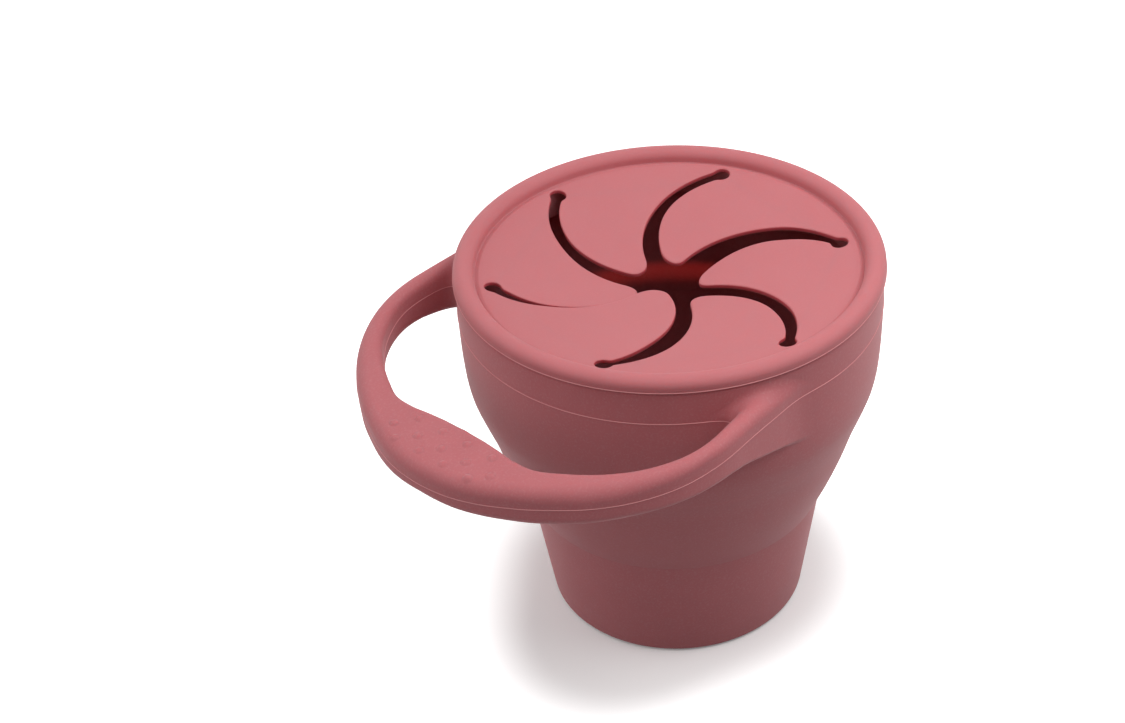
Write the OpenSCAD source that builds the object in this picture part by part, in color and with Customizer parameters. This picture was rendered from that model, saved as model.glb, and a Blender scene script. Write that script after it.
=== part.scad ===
// Collapsible snack cup with a one-sided loop handle and a push-in lid.
// The cup folds into itself at a thin wall between its base and its upper wall.
// The lid has six curved flaps that bend at their roots to let a small hand in.
// Origin: centre of the underside. +Z is up and the handle points along +X.

/* [Cup base] */
// Outer diameter of the base where it meets the table
base_d = 62.6; // [56:0.2:66]
// Outer diameter at the lower crease, on top of the base section
crease_d = 72; // [70:0.2:76]
// Height of the lower crease above the table
base_h = 30.8; // [26:0.2:36]
// Level wall thickness of the base section
base_wall = 2.4; // [1.8:0.1:3.2]
// Thickness of the floor
floor_t = 2.6; // [2:0.1:4]
// Rounding of the outer bottom edge
foot_r = 1.8; // [0.6:0.1:2.2]
// Size of the bevel inside, between the floor and the wall
inner_foot_r = 3; // [1:0.1:5]

/* [Fold wall] */
// Outer diameter at the upper crease
notch_d = 90; // [86:0.2:92]
// Height of the fold wall, from crease to crease
fold_h = 24.7; // [20:0.1:28]
// Level thickness of the thin wall that folds
fold_wall_t = 1.6; // [1:0.1:2.2]
// How far the fold wall swells out from a straight cone
fold_swell = 0.7; // [0.3:0.1:1.5]

/* [Upper wall] */
// Outer diameter at the shoulder above the fold
shoulder_d = 96.8; // [95:0.2:98]
// Height of the shoulder above the upper crease
shoulder_rise = 9.5; // [7:0.1:12]
// How far the wall swells between the crease and the shoulder
shoulder_swell = 0.5; // [0.2:0.1:1]
// Level wall thickness of the upper wall
wall = 2.8; // [2.2:0.1:3.2]
// Outer diameter of the cup from the parting line up
rim_d = 99.2; // [98.6:0.2:100]
// How far the wall swells between the shoulder and the parting line
waist_swell = 0.5; // [0.2:0.1:1]
// Height of the cup's top edge above the table
cup_h = 92.6; // [90:0.2:97]
// Height of the rim band above the parting line
rim_band = 8.3; // [6:0.1:9]
// Wall thickness of the rim band
rim_wall = 3.1; // [2.6:0.1:3.4]

/* [Lid] */
// How far the rolled edge stands out past the cup's rim band
lid_overhang = 0.4; // [0.2:0.1:1]
// Radius of the rolled edge's cross section
roll_r = 2.55; // [2.2:0.05:2.8]
// Height of the rolled edge above the cup's top edge
roll_h = 3.6; // [3.3:0.1:4]
// Rounding at the inner foot of the rolled edge
roll_foot_r = 1.8; // [1:0.1:2]
// Thickness of the lid's plate and flaps
plate_t = 2; // [1.6:0.1:2.4]
// How far the plate's top lies below the cup's top edge
plate_drop = 0.6; // [0.4:0.1:1]
// Thickness of the ring that plugs into the cup
plug_t = 2; // [1.5:0.1:2.4]
// Depth of the plug ring below the plate
plug_h = 5.5; // [4:0.1:7]
// Clearance between the plug ring and the rim band
plug_gap = 0.2; // [0.1:0.05:0.4]

/* [Flaps] */
// Distance from the plug ring's inner face to the circle of relief holes
hole_inset = 3.3; // [2.6:0.1:5]
// Diameter of a relief hole
hole_d = 3.5; // [3.4:0.1:4]
// Width of the curved slots
slot_w = 3.6; // [3:0.1:4]
// Distance by which a slot's curve would miss the lid's centre
slot_miss = 1.7; // [1:0.1:2.4]
// Angle from a hole's inward radius to the centre of its slot's curve
slot_turn = 34.3; // [33:0.1:36]
// Direction of the first relief hole, counted from the handle
hole_phase = 20.9; // [0:0.1:60]
// Rounding of a flap's tip
tip_r = 2.5; // [2:0.1:3]
// Angle at which the flaps hang below level
droop = 8.4; // [4:0.1:12]
// Clearance round the flexing root of a flap
root_gap = 0.25; // [0.15:0.05:0.4]

/* [Handle] */
// Distance from the cup's axis to the centre of the handle's end curve
loop_out = 34; // [28:0.5:40]
// How far the arms' outer sides lie inside the rim band's outside
leg_inset = 0.7; // [0.4:0.1:1.6]
// Width of a handle arm
arm_w = 6; // [5:0.1:6.4]
// Height of a handle arm
arm_h = 9.4; // [8:0.1:10]
// Angle at which the handle sags below the parting plane
sag = 2.8; // [0:0.1:5]
// Distance from the cup's axis to where the handle starts to sag
sag_from = 6; // [2:0.5:12]
// Depth of the web under an arm's root, below the parting plane
web_depth = 12.5; // [9:0.1:14]
// Width of the web
web_w = 4.6; // [3:0.1:4.8]
// Distance from the cup's axis to where the web starts to rise
web_flat = 10; // [6:0.5:14]
// Width of the thumb pad, from its inner edge to the loop's outer edge
pad_w = 14.4; // [12:0.1:17]
// Thickness of the thumb pad
pad_t = 8.3; // [7:0.1:9]
// Rounding of the thumb pad's outer edges
pad_edge_r = 2.6; // [1.5:0.1:3]

/* [Grip dots] */
// Diameter of a grip dot at its foot
dot_d = 2.8; // [2:0.1:3.2]
// Height of a grip dot
dot_h = 0.45; // [0.3:0.05:0.8]
// Distance between two dots in a row
dot_pitch = 7.3; // [6:0.1:7.6]
// Distance between two rows of dots
dot_row_gap = 4.3; // [3.4:0.1:4.4]
// Distance from the loop's outer edge to the middle row
dot_edge = 7.6; // [6.8:0.1:7.8]

/* [Hidden] */
$fn = 96;

// Colours of the soft silicone: the rigid zones, and a deeper tone for the flexing ones
rose = [0.74, 0.42, 0.44];
deep_rose = [0.66, 0.36, 0.38];

// Steps along each curved wall, and a margin by which a cutter passes its work
curve_steps = 6;
over = 1;

// How many grip dots stand in the middle row and in each outer row
mid_dots = 5;
side_dots = 4;

// Heights of the creases, the shoulder and the parting line
notch_z = base_h + fold_h;
shoulder_z = notch_z + shoulder_rise;
parting_z = cup_h - rim_band;

// Radii of the rim band and of the plug ring that fits it
rim_r = rim_d / 2;
rim_in_r = rim_r - rim_wall;
plug_r = rim_in_r - plug_gap;
plug_in_r = plug_r - plug_t;

// Rolled edge: its centre, and its inner radius above its foot
roll_c = [rim_r + lid_overhang - roll_r, cup_h + roll_h - roll_r];
roll_in_r = roll_c[0] - roll_r;

// Flaps: how many, the angle between two, and the plate's levels
petal_n = 6;
petal_step = 360 / petal_n;
plate_top = cup_h - plate_drop;
plate_low = plate_top - plate_t;

// Root line of a flap: a chord between two relief holes, halfway through the plate
hole_ring_r = plug_in_r - hole_inset;
root_x = hole_ring_r * cos(petal_step / 2);
root_z = (plate_top + plate_low) / 2;
knuckle_r = plate_t / 2;

// Radius of a slot's centre line, which runs from its hole past the lid's centre
slot_r = (hole_ring_r * hole_ring_r - slot_miss * slot_miss)
    / (2 * (slot_miss + hole_ring_r * cos(slot_turn)));

// Centre of the slot curve that starts at the hole in direction a
function slot_centre(a) = let (back = a + 180 + slot_turn)
    hole_ring_r * [cos(a), sin(a)] + slot_r * [cos(back), sin(back)];

// The two slot curves that bound a flap, in the flap's own frame
slot_in_c = slot_centre(petal_step / 2);
slot_out_c = slot_centre(-petal_step / 2);
slot_in_r = slot_r - slot_w / 2;
slot_out_r = slot_r + slot_w / 2;

// Centre of the tip's round end, which touches both slot curves
tip_c = circles_meet(slot_in_c, slot_in_r - tip_r, slot_out_c, slot_out_r + tip_r);

// Handle: radii of the end curve, and the thumb pad's inner edge and half angle
loop_r = rim_r - leg_inset;
loop_mid_r = loop_r - arm_w / 2;
pad_in_x = loop_r - pad_w;
pad_half = acos(pad_in_x / (loop_r - arm_w));

// Points along a curve from a up to b that swells outwards by s at its middle
function swell(a, b, s) = let (
    run = b - a,
    len = norm(run),
    rad = (len * len / 4 + s * s) / (2 * s),
    along = run / len,
    out = [along[1], -along[0]],
    mid = (a + b) / 2 - out * (rad - s),
    half = asin(len / 2 / rad))
    [for (i = [0:curve_steps]) let (t = half * (2 * i / curve_steps - 1))
        mid + rad * (cos(t) * out + sin(t) * along)];

// Where two circles cross, taking the crossing nearer to the lid's centre
function circles_meet(c1, r1, c2, r2) = let (
    gap = norm(c2 - c1),
    along = (c2 - c1) / gap,
    d = (gap * gap + r1 * r1 - r2 * r2) / (2 * gap),
    h = sqrt(r1 * r1 - d * d),
    side = [-along[1], along[0]],
    p = c1 + along * d + side * h,
    q = c1 + along * d - side * h)
    norm(p) < norm(q) ? p : q;

// Point moved level inwards by t
function inwards(p, t) = p - [t, 0];

// Closed ring wall between an outer curve and the same curve moved inwards by t
module ring_wall(outer, t) {
    inner = [for (i = [len(outer) - 1:-1:0]) inwards(outer[i], t)];
    rotate_extrude()
        polygon(concat(outer, inner));
}

// Full outer body of the cup, which trims what stands against its wall
module cup_outside() {
    outer = concat(
        [[0, notch_z]],
        swell([notch_d / 2, notch_z], [shoulder_d / 2, shoulder_z], shoulder_swell),
        swell([shoulder_d / 2, shoulder_z], [rim_r, parting_z], waist_swell),
        [[rim_r, cup_h + over]],
        [[0, cup_h + over]]);
    rotate_extrude()
        polygon(outer);
}

// Base section: floor and short cone, rounded at the foot outside and bevelled inside
module base_cup() {
    lean = (crease_d - base_d) / 2 / base_h;
    inner_x = base_d / 2 + lean * floor_t - base_wall;
    color(rose)
        rotate_extrude()
            difference() {
                union() {
                    polygon([
                        [0, 0],
                        [base_d / 2 - foot_r, 0],
                        [base_d / 2 - foot_r, foot_r],
                        [base_d / 2 + lean * foot_r, foot_r],
                        [crease_d / 2, base_h],
                        [0, base_h]]);
                    intersection() {
                        translate([base_d / 2 - foot_r, foot_r])
                            circle(foot_r);
                        square([base_d / 2, foot_r]);
                    }
                }
                polygon([
                    [0, floor_t],
                    [inner_x - inner_foot_r, floor_t],
                    [inner_x + lean * inner_foot_r, floor_t + inner_foot_r],
                    [crease_d / 2 - base_wall, base_h],
                    [crease_d / 2 - base_wall, base_h + over],
                    [0, base_h + over]]);
            }
}

// Thin wall that turns inside out when the cup is pressed flat
module fold_wall() {
    color(deep_rose)
        ring_wall(swell([crease_d / 2, base_h], [notch_d / 2, notch_z], fold_swell), fold_wall_t);
}

// Upper wall from the upper crease over the shoulder to the parting line
module upper_wall() {
    lower = swell([notch_d / 2, notch_z], [shoulder_d / 2, shoulder_z], shoulder_swell);
    upper = swell([shoulder_d / 2, shoulder_z], [rim_r, parting_z], waist_swell);
    color(rose)
        ring_wall(concat(lower, [for (i = [1:len(upper) - 1]) upper[i]]), wall);
}

// Straight band above the parting line, which holds the lid
module cup_rim() {
    color(rose)
        rotate_extrude()
            translate([rim_in_r, parting_z])
                square([rim_wall, rim_band]);
}

// Upright oblong cross section of a handle arm, centred on [0, 0]
module arm_section() {
    straight = arm_h - arm_w;
    for (s = [-1, 1])
        translate([0, s * straight / 2])
            circle(arm_w / 2);
    square([arm_w, straight], center = true);
}

// Puts the handle's own frame, with its plane at z = 0, at the parting plane with its sag
module at_handle() {
    translate([sag_from, 0, parting_z])
        rotate([0, sag, 0])
            translate([-sag_from, 0, 0])
                children();
}

// Root of an arm on the +Y side: a straight leg with a web under it, trimmed by the wall
module handle_root() {
    difference() {
        at_handle() {
            translate([0, loop_mid_r, 0])
                rotate([90, 0, 90])
                    linear_extrude(loop_out)
                        arm_section();
            translate([0, loop_mid_r, 0])
                rotate([90, 0, 0])
                    linear_extrude(web_w, center = true)
                        polygon([
                            [0, 0],
                            [0, -web_depth],
                            [web_flat, -web_depth],
                            [loop_out, -(arm_h - arm_w) / 2],
                            [loop_out, 0]]);
        }
        cup_outside();
    }
}

// Curved arm on the +Y side, from the leg round to the thumb pad
module handle_arm() {
    at_handle()
        translate([loop_out, 0, 0])
            rotate([0, 0, pad_half])
                rotate_extrude(angle = 90 - pad_half)
                    translate([loop_mid_r, 0])
                        arm_section();
}

module left_handle_root() {
    color(rose)
        handle_root();
}

module right_handle_root() {
    color(rose)
        mirror([0, 1, 0])
            handle_root();
}

module left_handle_arm() {
    color(rose)
        handle_arm();
}

module right_handle_arm() {
    color(rose)
        mirror([0, 1, 0])
            handle_arm();
}

// Flat wide part at the end of the loop, with a half-round inner edge
module thumb_pad() {
    edge_x = loop_out + pad_in_x + pad_t / 2;
    far = 2 * loop_r;
    color(rose)
        at_handle()
            intersection() {
                translate([loop_out, 0, 0])
                    rotate([0, 0, -pad_half])
                        rotate_extrude(angle = 2 * pad_half)
                            difference() {
                                translate([0, -pad_t / 2])
                                    square([loop_r, pad_t]);
                                for (s = [-1, 1])
                                    scale([1, s])
                                        translate([loop_r - pad_edge_r, pad_t / 2 - pad_edge_r])
                                            difference() {
                                                square(pad_edge_r + over);
                                                circle(pad_edge_r);
                                            }
                            }
                union() {
                    translate([edge_x, -far / 2, -pad_t])
                        cube([far, far, 2 * pad_t]);
                    translate([edge_x, far / 2, 0])
                        rotate([90, 0, 0])
                            cylinder(h = far, r = pad_t / 2);
                }
            }
}

// Low round dots on the pad: a middle row between two shorter rows
module grip_dots() {
    cap_r = (dot_d * dot_d / 4 + dot_h * dot_h) / (2 * dot_h);
    row_x = loop_out + loop_r - dot_edge;
    color(rose)
        at_handle()
            for (row = [-1:1]) {
                count = row == 0 ? mid_dots : side_dots;
                for (i = [0:count - 1])
                    translate([row_x + row * dot_row_gap, (i - (count - 1) / 2) * dot_pitch, pad_t / 2])
                        intersection() {
                            translate([0, 0, dot_h - cap_r])
                                sphere(cap_r);
                            cylinder(h = dot_h + over, d = dot_d + over);
                        }
            }
}

// Rolled edge that rests on the cup's top edge, with a hollow foot on its inside
module lid_rolled_edge() {
    foot_in = roll_in_r - roll_foot_r;
    color(rose)
        rotate_extrude() {
            intersection() {
                translate(roll_c)
                    circle(roll_r);
                translate([roll_in_r, roll_c[1]])
                    square([2 * roll_r, roll_r]);
            }
            translate([roll_in_r, cup_h])
                square([2 * roll_r, roll_c[1] - cup_h]);
            difference() {
                translate([foot_in, cup_h])
                    square([roll_foot_r, roll_foot_r]);
                translate([foot_in, cup_h + roll_foot_r])
                    circle(roll_foot_r);
            }
        }
}

// Ring that plugs into the rim band
module lid_plug_ring() {
    color(rose)
        rotate_extrude()
            translate([plug_in_r, plate_low - plug_h])
                square([plug_t, plug_h]);
}

// Quarter of a slot's ring, from its relief hole inwards
module slot_start() {
    translate(slot_centre(0))
        rotate(slot_turn)
            intersection() {
                difference() {
                    circle(slot_out_r);
                    circle(slot_in_r);
                }
                square(2 * slot_r);
            }
}

// Fixed margin of the plate, open inside the flaps' root lines
module lid_margin() {
    deep = plate_t + 2 * over;
    color(rose)
        difference() {
            union() {
                translate([0, 0, plate_low])
                    cylinder(h = plate_t, r = plug_r);
                translate([0, 0, plate_top])
                    difference() {
                        cylinder(h = plate_drop, r = plug_r);
                        translate([0, 0, -over])
                            cylinder(h = plate_drop + 2 * over, r = roll_in_r - roll_foot_r);
                    }
            }
            for (i = [0:petal_n - 1])
                rotate(hole_phase + i * petal_step) {
                    translate([hole_ring_r, 0, plate_low - over])
                        cylinder(h = deep, d = hole_d);
                    translate([0, 0, plate_low - over])
                        linear_extrude(deep)
                            slot_start();
                    rotate(petal_step / 2)
                        translate([root_x, hole_ring_r / 2, root_z])
                            rotate([90, 0, 0])
                                cylinder(h = hole_ring_r, r = knuckle_r + root_gap);
                }
            rotate(hole_phase)
                translate([0, 0, plate_low - over])
                    cylinder(h = deep, r = hole_ring_r, $fn = petal_n);
        }
}

// Half plane that holds everything on the root side of the tip's two touching points
module root_side() {
    a = slot_in_c + slot_in_r * (tip_c - slot_in_c) / norm(tip_c - slot_in_c);
    b = slot_out_c + slot_out_r * (tip_c - slot_out_c) / norm(tip_c - slot_out_c);
    far = 2 * hole_ring_r;
    translate(a)
        rotate(atan2(b[1] - a[1], b[0] - a[0]))
            translate([-far, 0])
                square(2 * far);
}

// Outline of one flap seen from above, pointing at the lid's centre from +X
module flap_outline() {
    far = 2 * hole_ring_r;
    intersection() {
        union() {
            intersection() {
                difference() {
                    translate(slot_in_c)
                        circle(slot_in_r);
                    translate(slot_out_c)
                        circle(slot_out_r);
                }
                root_side();
            }
            translate(tip_c)
                circle(tip_r);
        }
        translate([-far, -far / 2])
            square([far + root_x + knuckle_r, far]);
    }
}

// Side view of a flap: a flat strip that ends in a round root, centred on [0, 0]
module flap_section(reach) {
    circle(knuckle_r);
    translate([-reach, -knuckle_r])
        square([reach, 2 * knuckle_r]);
}

// One flap that hangs from its round root
module flap(number) {
    reach = hole_ring_r + over;
    color(deep_rose)
        rotate(hole_phase + (number - 0.5) * petal_step)
            intersection() {
                translate([0, 0, root_z - reach / 2])
                    linear_extrude(reach)
                        flap_outline();
                translate([root_x, 0, root_z])
                    rotate([90, -droop, 0])
                        linear_extrude(2 * reach, center = true)
                            flap_section(reach);
            }
}

module petal_1() { flap(1); }
module petal_2() { flap(2); }
module petal_3() { flap(3); }
module petal_4() { flap(4); }
module petal_5() { flap(5); }
module petal_6() { flap(6); }

base_cup();
fold_wall();
upper_wall();
cup_rim();
left_handle_root();
right_handle_root();
left_handle_arm();
right_handle_arm();
thumb_pad();
grip_dots();
lid_rolled_edge();
lid_plug_ring();
lid_margin();
petal_1();
petal_2();
petal_3();
petal_4();
petal_5();
petal_6();
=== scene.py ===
"""Dressed model of a collapsible silicone snack cup with a loop handle and a flap lid."""
import logging
import math
from dataclasses import dataclass, field, replace
from enum import Enum
from typing import Callable, ClassVar

import bmesh
import bpy
import numpy as np
from mathutils import Matrix, Vector
from mathutils.geometry import delaunay_2d_cdt


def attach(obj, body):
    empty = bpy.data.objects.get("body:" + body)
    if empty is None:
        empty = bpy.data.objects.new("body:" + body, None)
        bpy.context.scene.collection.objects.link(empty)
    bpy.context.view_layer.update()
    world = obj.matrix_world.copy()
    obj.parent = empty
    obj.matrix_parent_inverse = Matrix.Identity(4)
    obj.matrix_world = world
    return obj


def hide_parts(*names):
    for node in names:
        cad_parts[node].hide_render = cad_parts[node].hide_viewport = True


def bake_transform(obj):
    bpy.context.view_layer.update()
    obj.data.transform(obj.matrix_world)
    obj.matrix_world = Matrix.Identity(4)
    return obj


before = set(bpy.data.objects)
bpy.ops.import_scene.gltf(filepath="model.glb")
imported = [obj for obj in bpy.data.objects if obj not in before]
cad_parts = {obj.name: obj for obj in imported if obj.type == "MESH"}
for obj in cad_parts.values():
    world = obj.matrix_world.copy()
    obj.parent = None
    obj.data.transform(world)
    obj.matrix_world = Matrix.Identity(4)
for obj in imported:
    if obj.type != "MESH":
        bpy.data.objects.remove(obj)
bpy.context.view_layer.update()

log = logging.getLogger("snack_cup")

MM = 0.001
ROUND_STEPS = 288
PETALS = 6
ALL_ROUND = 2 * math.pi
QUARTER = 90.0
ON_AXIS = 1e-6
NEVER_ZERO = 1e-9
SAME_POINT = 1e-5
WELD = 2e-6

Array = np.ndarray
Point = tuple[float, float]
Colour = tuple[float, float, float]
Field = Callable[[Array], Array]
Triangles = list[tuple[int, ...]]
Crossing = tuple[int, int, int]
Socket = bpy.types.NodeSocket


WHITE: Colour = (1.0, 1.0, 1.0)
BLACK: Colour = (0.0, 0.0, 0.0)


class Slot(Enum):
    """Material slots of the record."""

    CUP = "cup_silicone"
    LID = "lid_silicone"


# ---------------------------------------------------------------- plain maths


def ease(x: Array | float) -> Array | float:
    """Smooth step from 0 to 1 of x held between 0 and 1."""
    t = np.clip(x, 0.0, 1.0)
    return t * t * (3.0 - 2.0 * t)


def ramp(x: Array | float, start: float, span: float) -> Array | float:
    """Smooth rise from 0 at start to 1 at start plus span."""
    return ease((x - start) / span)


def soft_min(a: Array, b: Array, reach: float) -> Array:
    """Lower of a and b, rounded over reach where they cross."""
    h = np.maximum(reach - np.abs(a - b), 0.0) / reach
    return np.minimum(a, b) - h * h * reach / 4.0


def soft_max(a: Array, b: Array, reach: float) -> Array:
    """Higher of a and b, rounded over reach where they cross."""
    return -soft_min(-a, -b, reach)


def full_turn(count: int) -> Array:
    """Angles spread evenly round a full turn."""
    return np.arange(count) * ALL_ROUND / count


def circle(radius: float, turn: Array, z: float) -> Array:
    """Points of a level circle at the angles of turn."""
    return np.column_stack([radius * np.cos(turn), radius * np.sin(turn), np.full(len(turn), z)])


def spoke(angle: float) -> Array:
    """Direction of an angle, seen from above."""
    return np.array([math.cos(angle), math.sin(angle)])


def unit(rows: Array) -> Array:
    """Rows brought to a length of 1."""
    return rows / np.linalg.norm(rows, axis=1, keepdims=True)


def hermite(knots: list[Point], x: Array | float) -> Array:
    """Smooth curve through knots that never overshoots between two of them.

    Args:
        knots: Points in rising order of their first number.
        x: Where the curve is read.

    Returns:
        The curve's value at each x; it runs on straight past both ends.
    """
    k = np.array(knots, float)
    step, rise = np.diff(k[:, 0]), np.diff(k[:, 1])
    slope = rise / step
    m = np.empty(len(k))
    m[0], m[-1] = slope[0], slope[-1]
    both = slope[:-1] * slope[1:]
    m[1:-1] = np.where(both > 0, 2 * both / np.where(both > 0, slope[:-1] + slope[1:], 1), 0)
    x = np.asarray(x, float)
    i = np.clip(np.searchsorted(k[:, 0], x) - 1, 0, len(step) - 1)
    t = (x - k[i, 0]) / step[i]
    u = np.clip(t, 0, 1)
    inside = (
        k[i, 1] * (1 + 2 * u) * (1 - u) ** 2
        + m[i] * step[i] * u * (1 - u) ** 2
        + k[i + 1, 1] * u * u * (3 - 2 * u)
        + m[i + 1] * step[i] * u * u * (u - 1)
    )
    return inside + (t - u) * step[i] * np.where(t > 1, m[i + 1], m[i])


def rounded(
    corners: list[tuple[float, float, float]], steps: int = 6, straight: float = 1e-3
) -> list[Point]:
    """Line through corners with each corner turned into an arc.

    Args:
        corners: Points with the radius of each corner; a radius of 0 keeps it sharp.
        steps: Segments in each arc.
        straight: How near to straight, in radians, a corner may be before it is left as it is.

    Returns:
        The points of the rounded line.
    """
    out: list[Point] = [corners[0][:2]]
    for before, here, after in zip(corners, corners[1:], corners[2:]):
        p, a, b = (np.array(c[:2], float) for c in (here, before, after))
        radius = here[2]
        u, v = (a - p) / np.linalg.norm(a - p), (b - p) / np.linalg.norm(b - p)
        half = math.acos(float(np.clip(u @ v, -1, 1))) / 2
        if radius <= 0 or half > math.pi / 2 - straight:
            out.append(tuple(p))
            continue
        cut = radius / math.tan(half)
        middle = p + (u + v) / np.linalg.norm(u + v) * radius / math.sin(half)
        start, end = p + u * cut - middle, p + v * cut - middle
        for i in range(steps + 1):
            w = start * (1 - i / steps) + end * i / steps
            out.append(tuple(middle + w / np.linalg.norm(w) * radius))
    out.append(corners[-1][:2])
    return out


# ---------------------------------------------------------------- mesh making


def put(thing: bpy.types.Object) -> bpy.types.Object:
    """Places an object in the scene."""
    bpy.context.scene.collection.objects.link(thing)
    return thing


def new_piece(name: str, verts: Array, faces: list[tuple[int, ...]]) -> bpy.types.Object:
    """Makes a smooth-shaded mesh object.

    Args:
        name: Name of the piece.
        verts: Points in mm, one in each row.
        faces: Indices of the points round each face.

    Returns:
        The piece, in metres.
    """
    mesh = bpy.data.meshes.new(name)
    mesh.from_pydata([tuple(v) for v in np.asarray(verts) * MM], [], faces)
    mesh.validate()
    mesh.shade_smooth()
    return put(bpy.data.objects.new(name, mesh))


def set_normals(piece: bpy.types.Object, normals: Array) -> None:
    """Gives each face corner of a piece its own normal."""
    piece.data.normals_split_custom_set([tuple(n) for n in normals])


def revolve(
    name: str, section: list[Point], flat: frozenset[int] = frozenset(), steps: int = ROUND_STEPS
) -> bpy.types.Object:
    """Turns a closed section round the Z axis.

    Args:
        name: Name of the piece.
        section: Points (radius, height) in mm, anticlockwise seen with the axis on the left.
        flat: Indices of the segments that keep hard edges at both ends.
        steps: Columns round the axis.

    Returns:
        The turned piece.
    """
    pts = np.array(section, float)
    count = len(pts)
    angle = full_turn(steps)
    c, s = np.cos(angle), np.sin(angle)
    index, verts = [], []
    for r, z in pts:
        if r < ON_AXIS:
            index.append([len(verts)] * steps)
            verts.append((0.0, 0.0, z))
        else:
            index.append(list(range(len(verts), len(verts) + steps)))
            verts.extend(zip(r * c, r * s, np.full(steps, z)))
    run = np.roll(pts, -1, 0) - pts
    out = np.stack([run[:, 1], -run[:, 0]], 1)
    out /= np.maximum(np.linalg.norm(out, axis=1, keepdims=True), NEVER_ZERO)
    faces, normals = [], []
    for j in range(count):
        k = (j + 1) % count
        if pts[j][0] < ON_AXIS and pts[k][0] < ON_AXIS:
            continue
        ends = []
        for own, other in ((j, (j - 1) % count), (j, (j + 1) % count)):
            hard = own in flat or other in flat
            n = out[own] if hard else out[own] + out[other]
            ends.append(n / np.linalg.norm(n))
        for i in range(steps):
            n = (i + 1) % steps
            ring = [(index[j][i], i, 0), (index[j][n], n, 0), (index[k][n], n, 1), (index[k][i], i, 1)]
            seen, face = set(), []
            for vertex, column, end in ring:
                if vertex not in seen:
                    seen.add(vertex)
                    face.append((vertex, column, end))
            faces.append(tuple(f[0] for f in face))
            normals.extend((ends[e][0] * c[col], ends[e][0] * s[col], ends[e][1]) for _, col, e in face)
    piece = new_piece(name, np.array(verts), faces)
    set_normals(piece, np.array(normals))
    return piece


def gradient(shape: Field, p: Array, step: float = 0.02) -> Array:
    """Slope of a distance field, by central differences.

    Args:
        shape: Field whose slope is wanted.
        p: Points in mm, one in each row.
        step: Half of the distance between the two readings, in mm.

    Returns:
        The slope at each point.
    """
    out = np.empty_like(p)
    for axis in range(p.shape[1]):
        d = np.zeros(p.shape[1])
        d[axis] = step
        out[:, axis] = (shape(p + d) - shape(p - d)) / (2 * step)
    return out


def settle(shape: Field, p: Array, rounds: int = 4, least: float = 0.05, step: float = 0.02) -> Array:
    """Moves points along the slope of a field until they lie on its surface.

    Args:
        shape: Signed distance in mm.
        p: Points near the surface, one in each row.
        rounds: How often the points move.
        least: Smallest square of the slope that is trusted.
        step: Step with which the slope is read, in mm.

    Returns:
        The points on the surface.
    """
    for _ in range(rounds):
        g = gradient(shape, p, step)
        p = p - g * (shape(p) / np.maximum((g * g).sum(1), least))[:, None]
    return p


def skin_field(
    name: str, shape: Field, smooth: Field, low: Array, high: Array, cell: float
) -> bpy.types.Object:
    """Meshes the zero surface of a field with one point in each cell that it crosses.

    Args:
        name: Name of the piece.
        shape: Signed distance in mm, negative inside.
        smooth: Field that gives the normals, without the trimmed edges of shape.
        low: Lowest corner of the region in mm.
        high: Highest corner of the region in mm.
        cell: Size of a cell in mm.

    Returns:
        The closed piece, with its points and normals on the exact surface.
    """
    axes = [np.arange(lo, hi + cell, cell) for lo, hi in zip(low, high)]
    grid = np.stack(np.meshgrid(*axes, indexing="ij"), -1)
    size = grid.shape[:3]
    value = shape(grid.reshape(-1, 3)).reshape(size)
    inside = value < 0
    cells = tuple(n - 1 for n in size)
    total, hits = np.zeros((*cells, 3)), np.zeros(cells)
    corner = [(0, 0), (0, 1), (1, 0), (1, 1)]

    def window(start: tuple[int, ...]) -> tuple[slice, ...]:
        """Slice of the grid that starts at an offset and has one entry for each cell."""
        return tuple(slice(o, o + n) for o, n in zip(start, cells))

    for axis in range(3):
        for a, b in corner:
            first = [a, b]
            first.insert(axis, 0)
            last = list(first)
            last[axis] = 1
            w0, w1 = window(tuple(first)), window(tuple(last))
            v0, v1 = value[w0], value[w1]
            cross = inside[w0] != inside[w1]
            t = np.where(cross, v0 / np.where(cross, v0 - v1, 1), 0)
            total += np.where(cross[..., None], grid[w0] + (grid[w1] - grid[w0]) * t[..., None], 0)
            hits += cross
    used = hits > 0
    number = np.full(cells, -1)
    number[used] = np.arange(used.sum())
    verts = settle(shape, total[used] / hits[used][:, None])
    faces = []
    for axis in range(3):
        u, v = (axis + 1) % 3, (axis + 2) % 3
        lead = [slice(1, n) for n in cells]
        lead[axis] = slice(0, cells[axis])
        ahead = list(lead)
        ahead[axis] = slice(1, cells[axis] + 1)
        here, there = inside[tuple(lead)], inside[tuple(ahead)]
        spots = np.argwhere(here != there)
        turn = here[tuple(spots.T)]
        spots = spots + [0 if a == axis else 1 for a in range(3)]
        ring = []
        for du, dv in ((-1, -1), (0, -1), (0, 0), (-1, 0)):
            at = spots.copy()
            at[:, u] += du
            at[:, v] += dv
            ring.append(number[tuple(at.T)])
        quad = np.stack(ring, 1)
        quad[~turn] = quad[~turn][:, ::-1]
        faces.append(quad)
    faces = np.concatenate(faces)
    piece = new_piece(name, verts, faces.tolist())
    slope = unit(gradient(smooth, verts))
    loops = np.zeros(len(piece.data.loops), np.int64)
    piece.data.loops.foreach_get("vertex_index", loops)
    set_normals(piece, slope[loops])
    return piece


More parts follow.
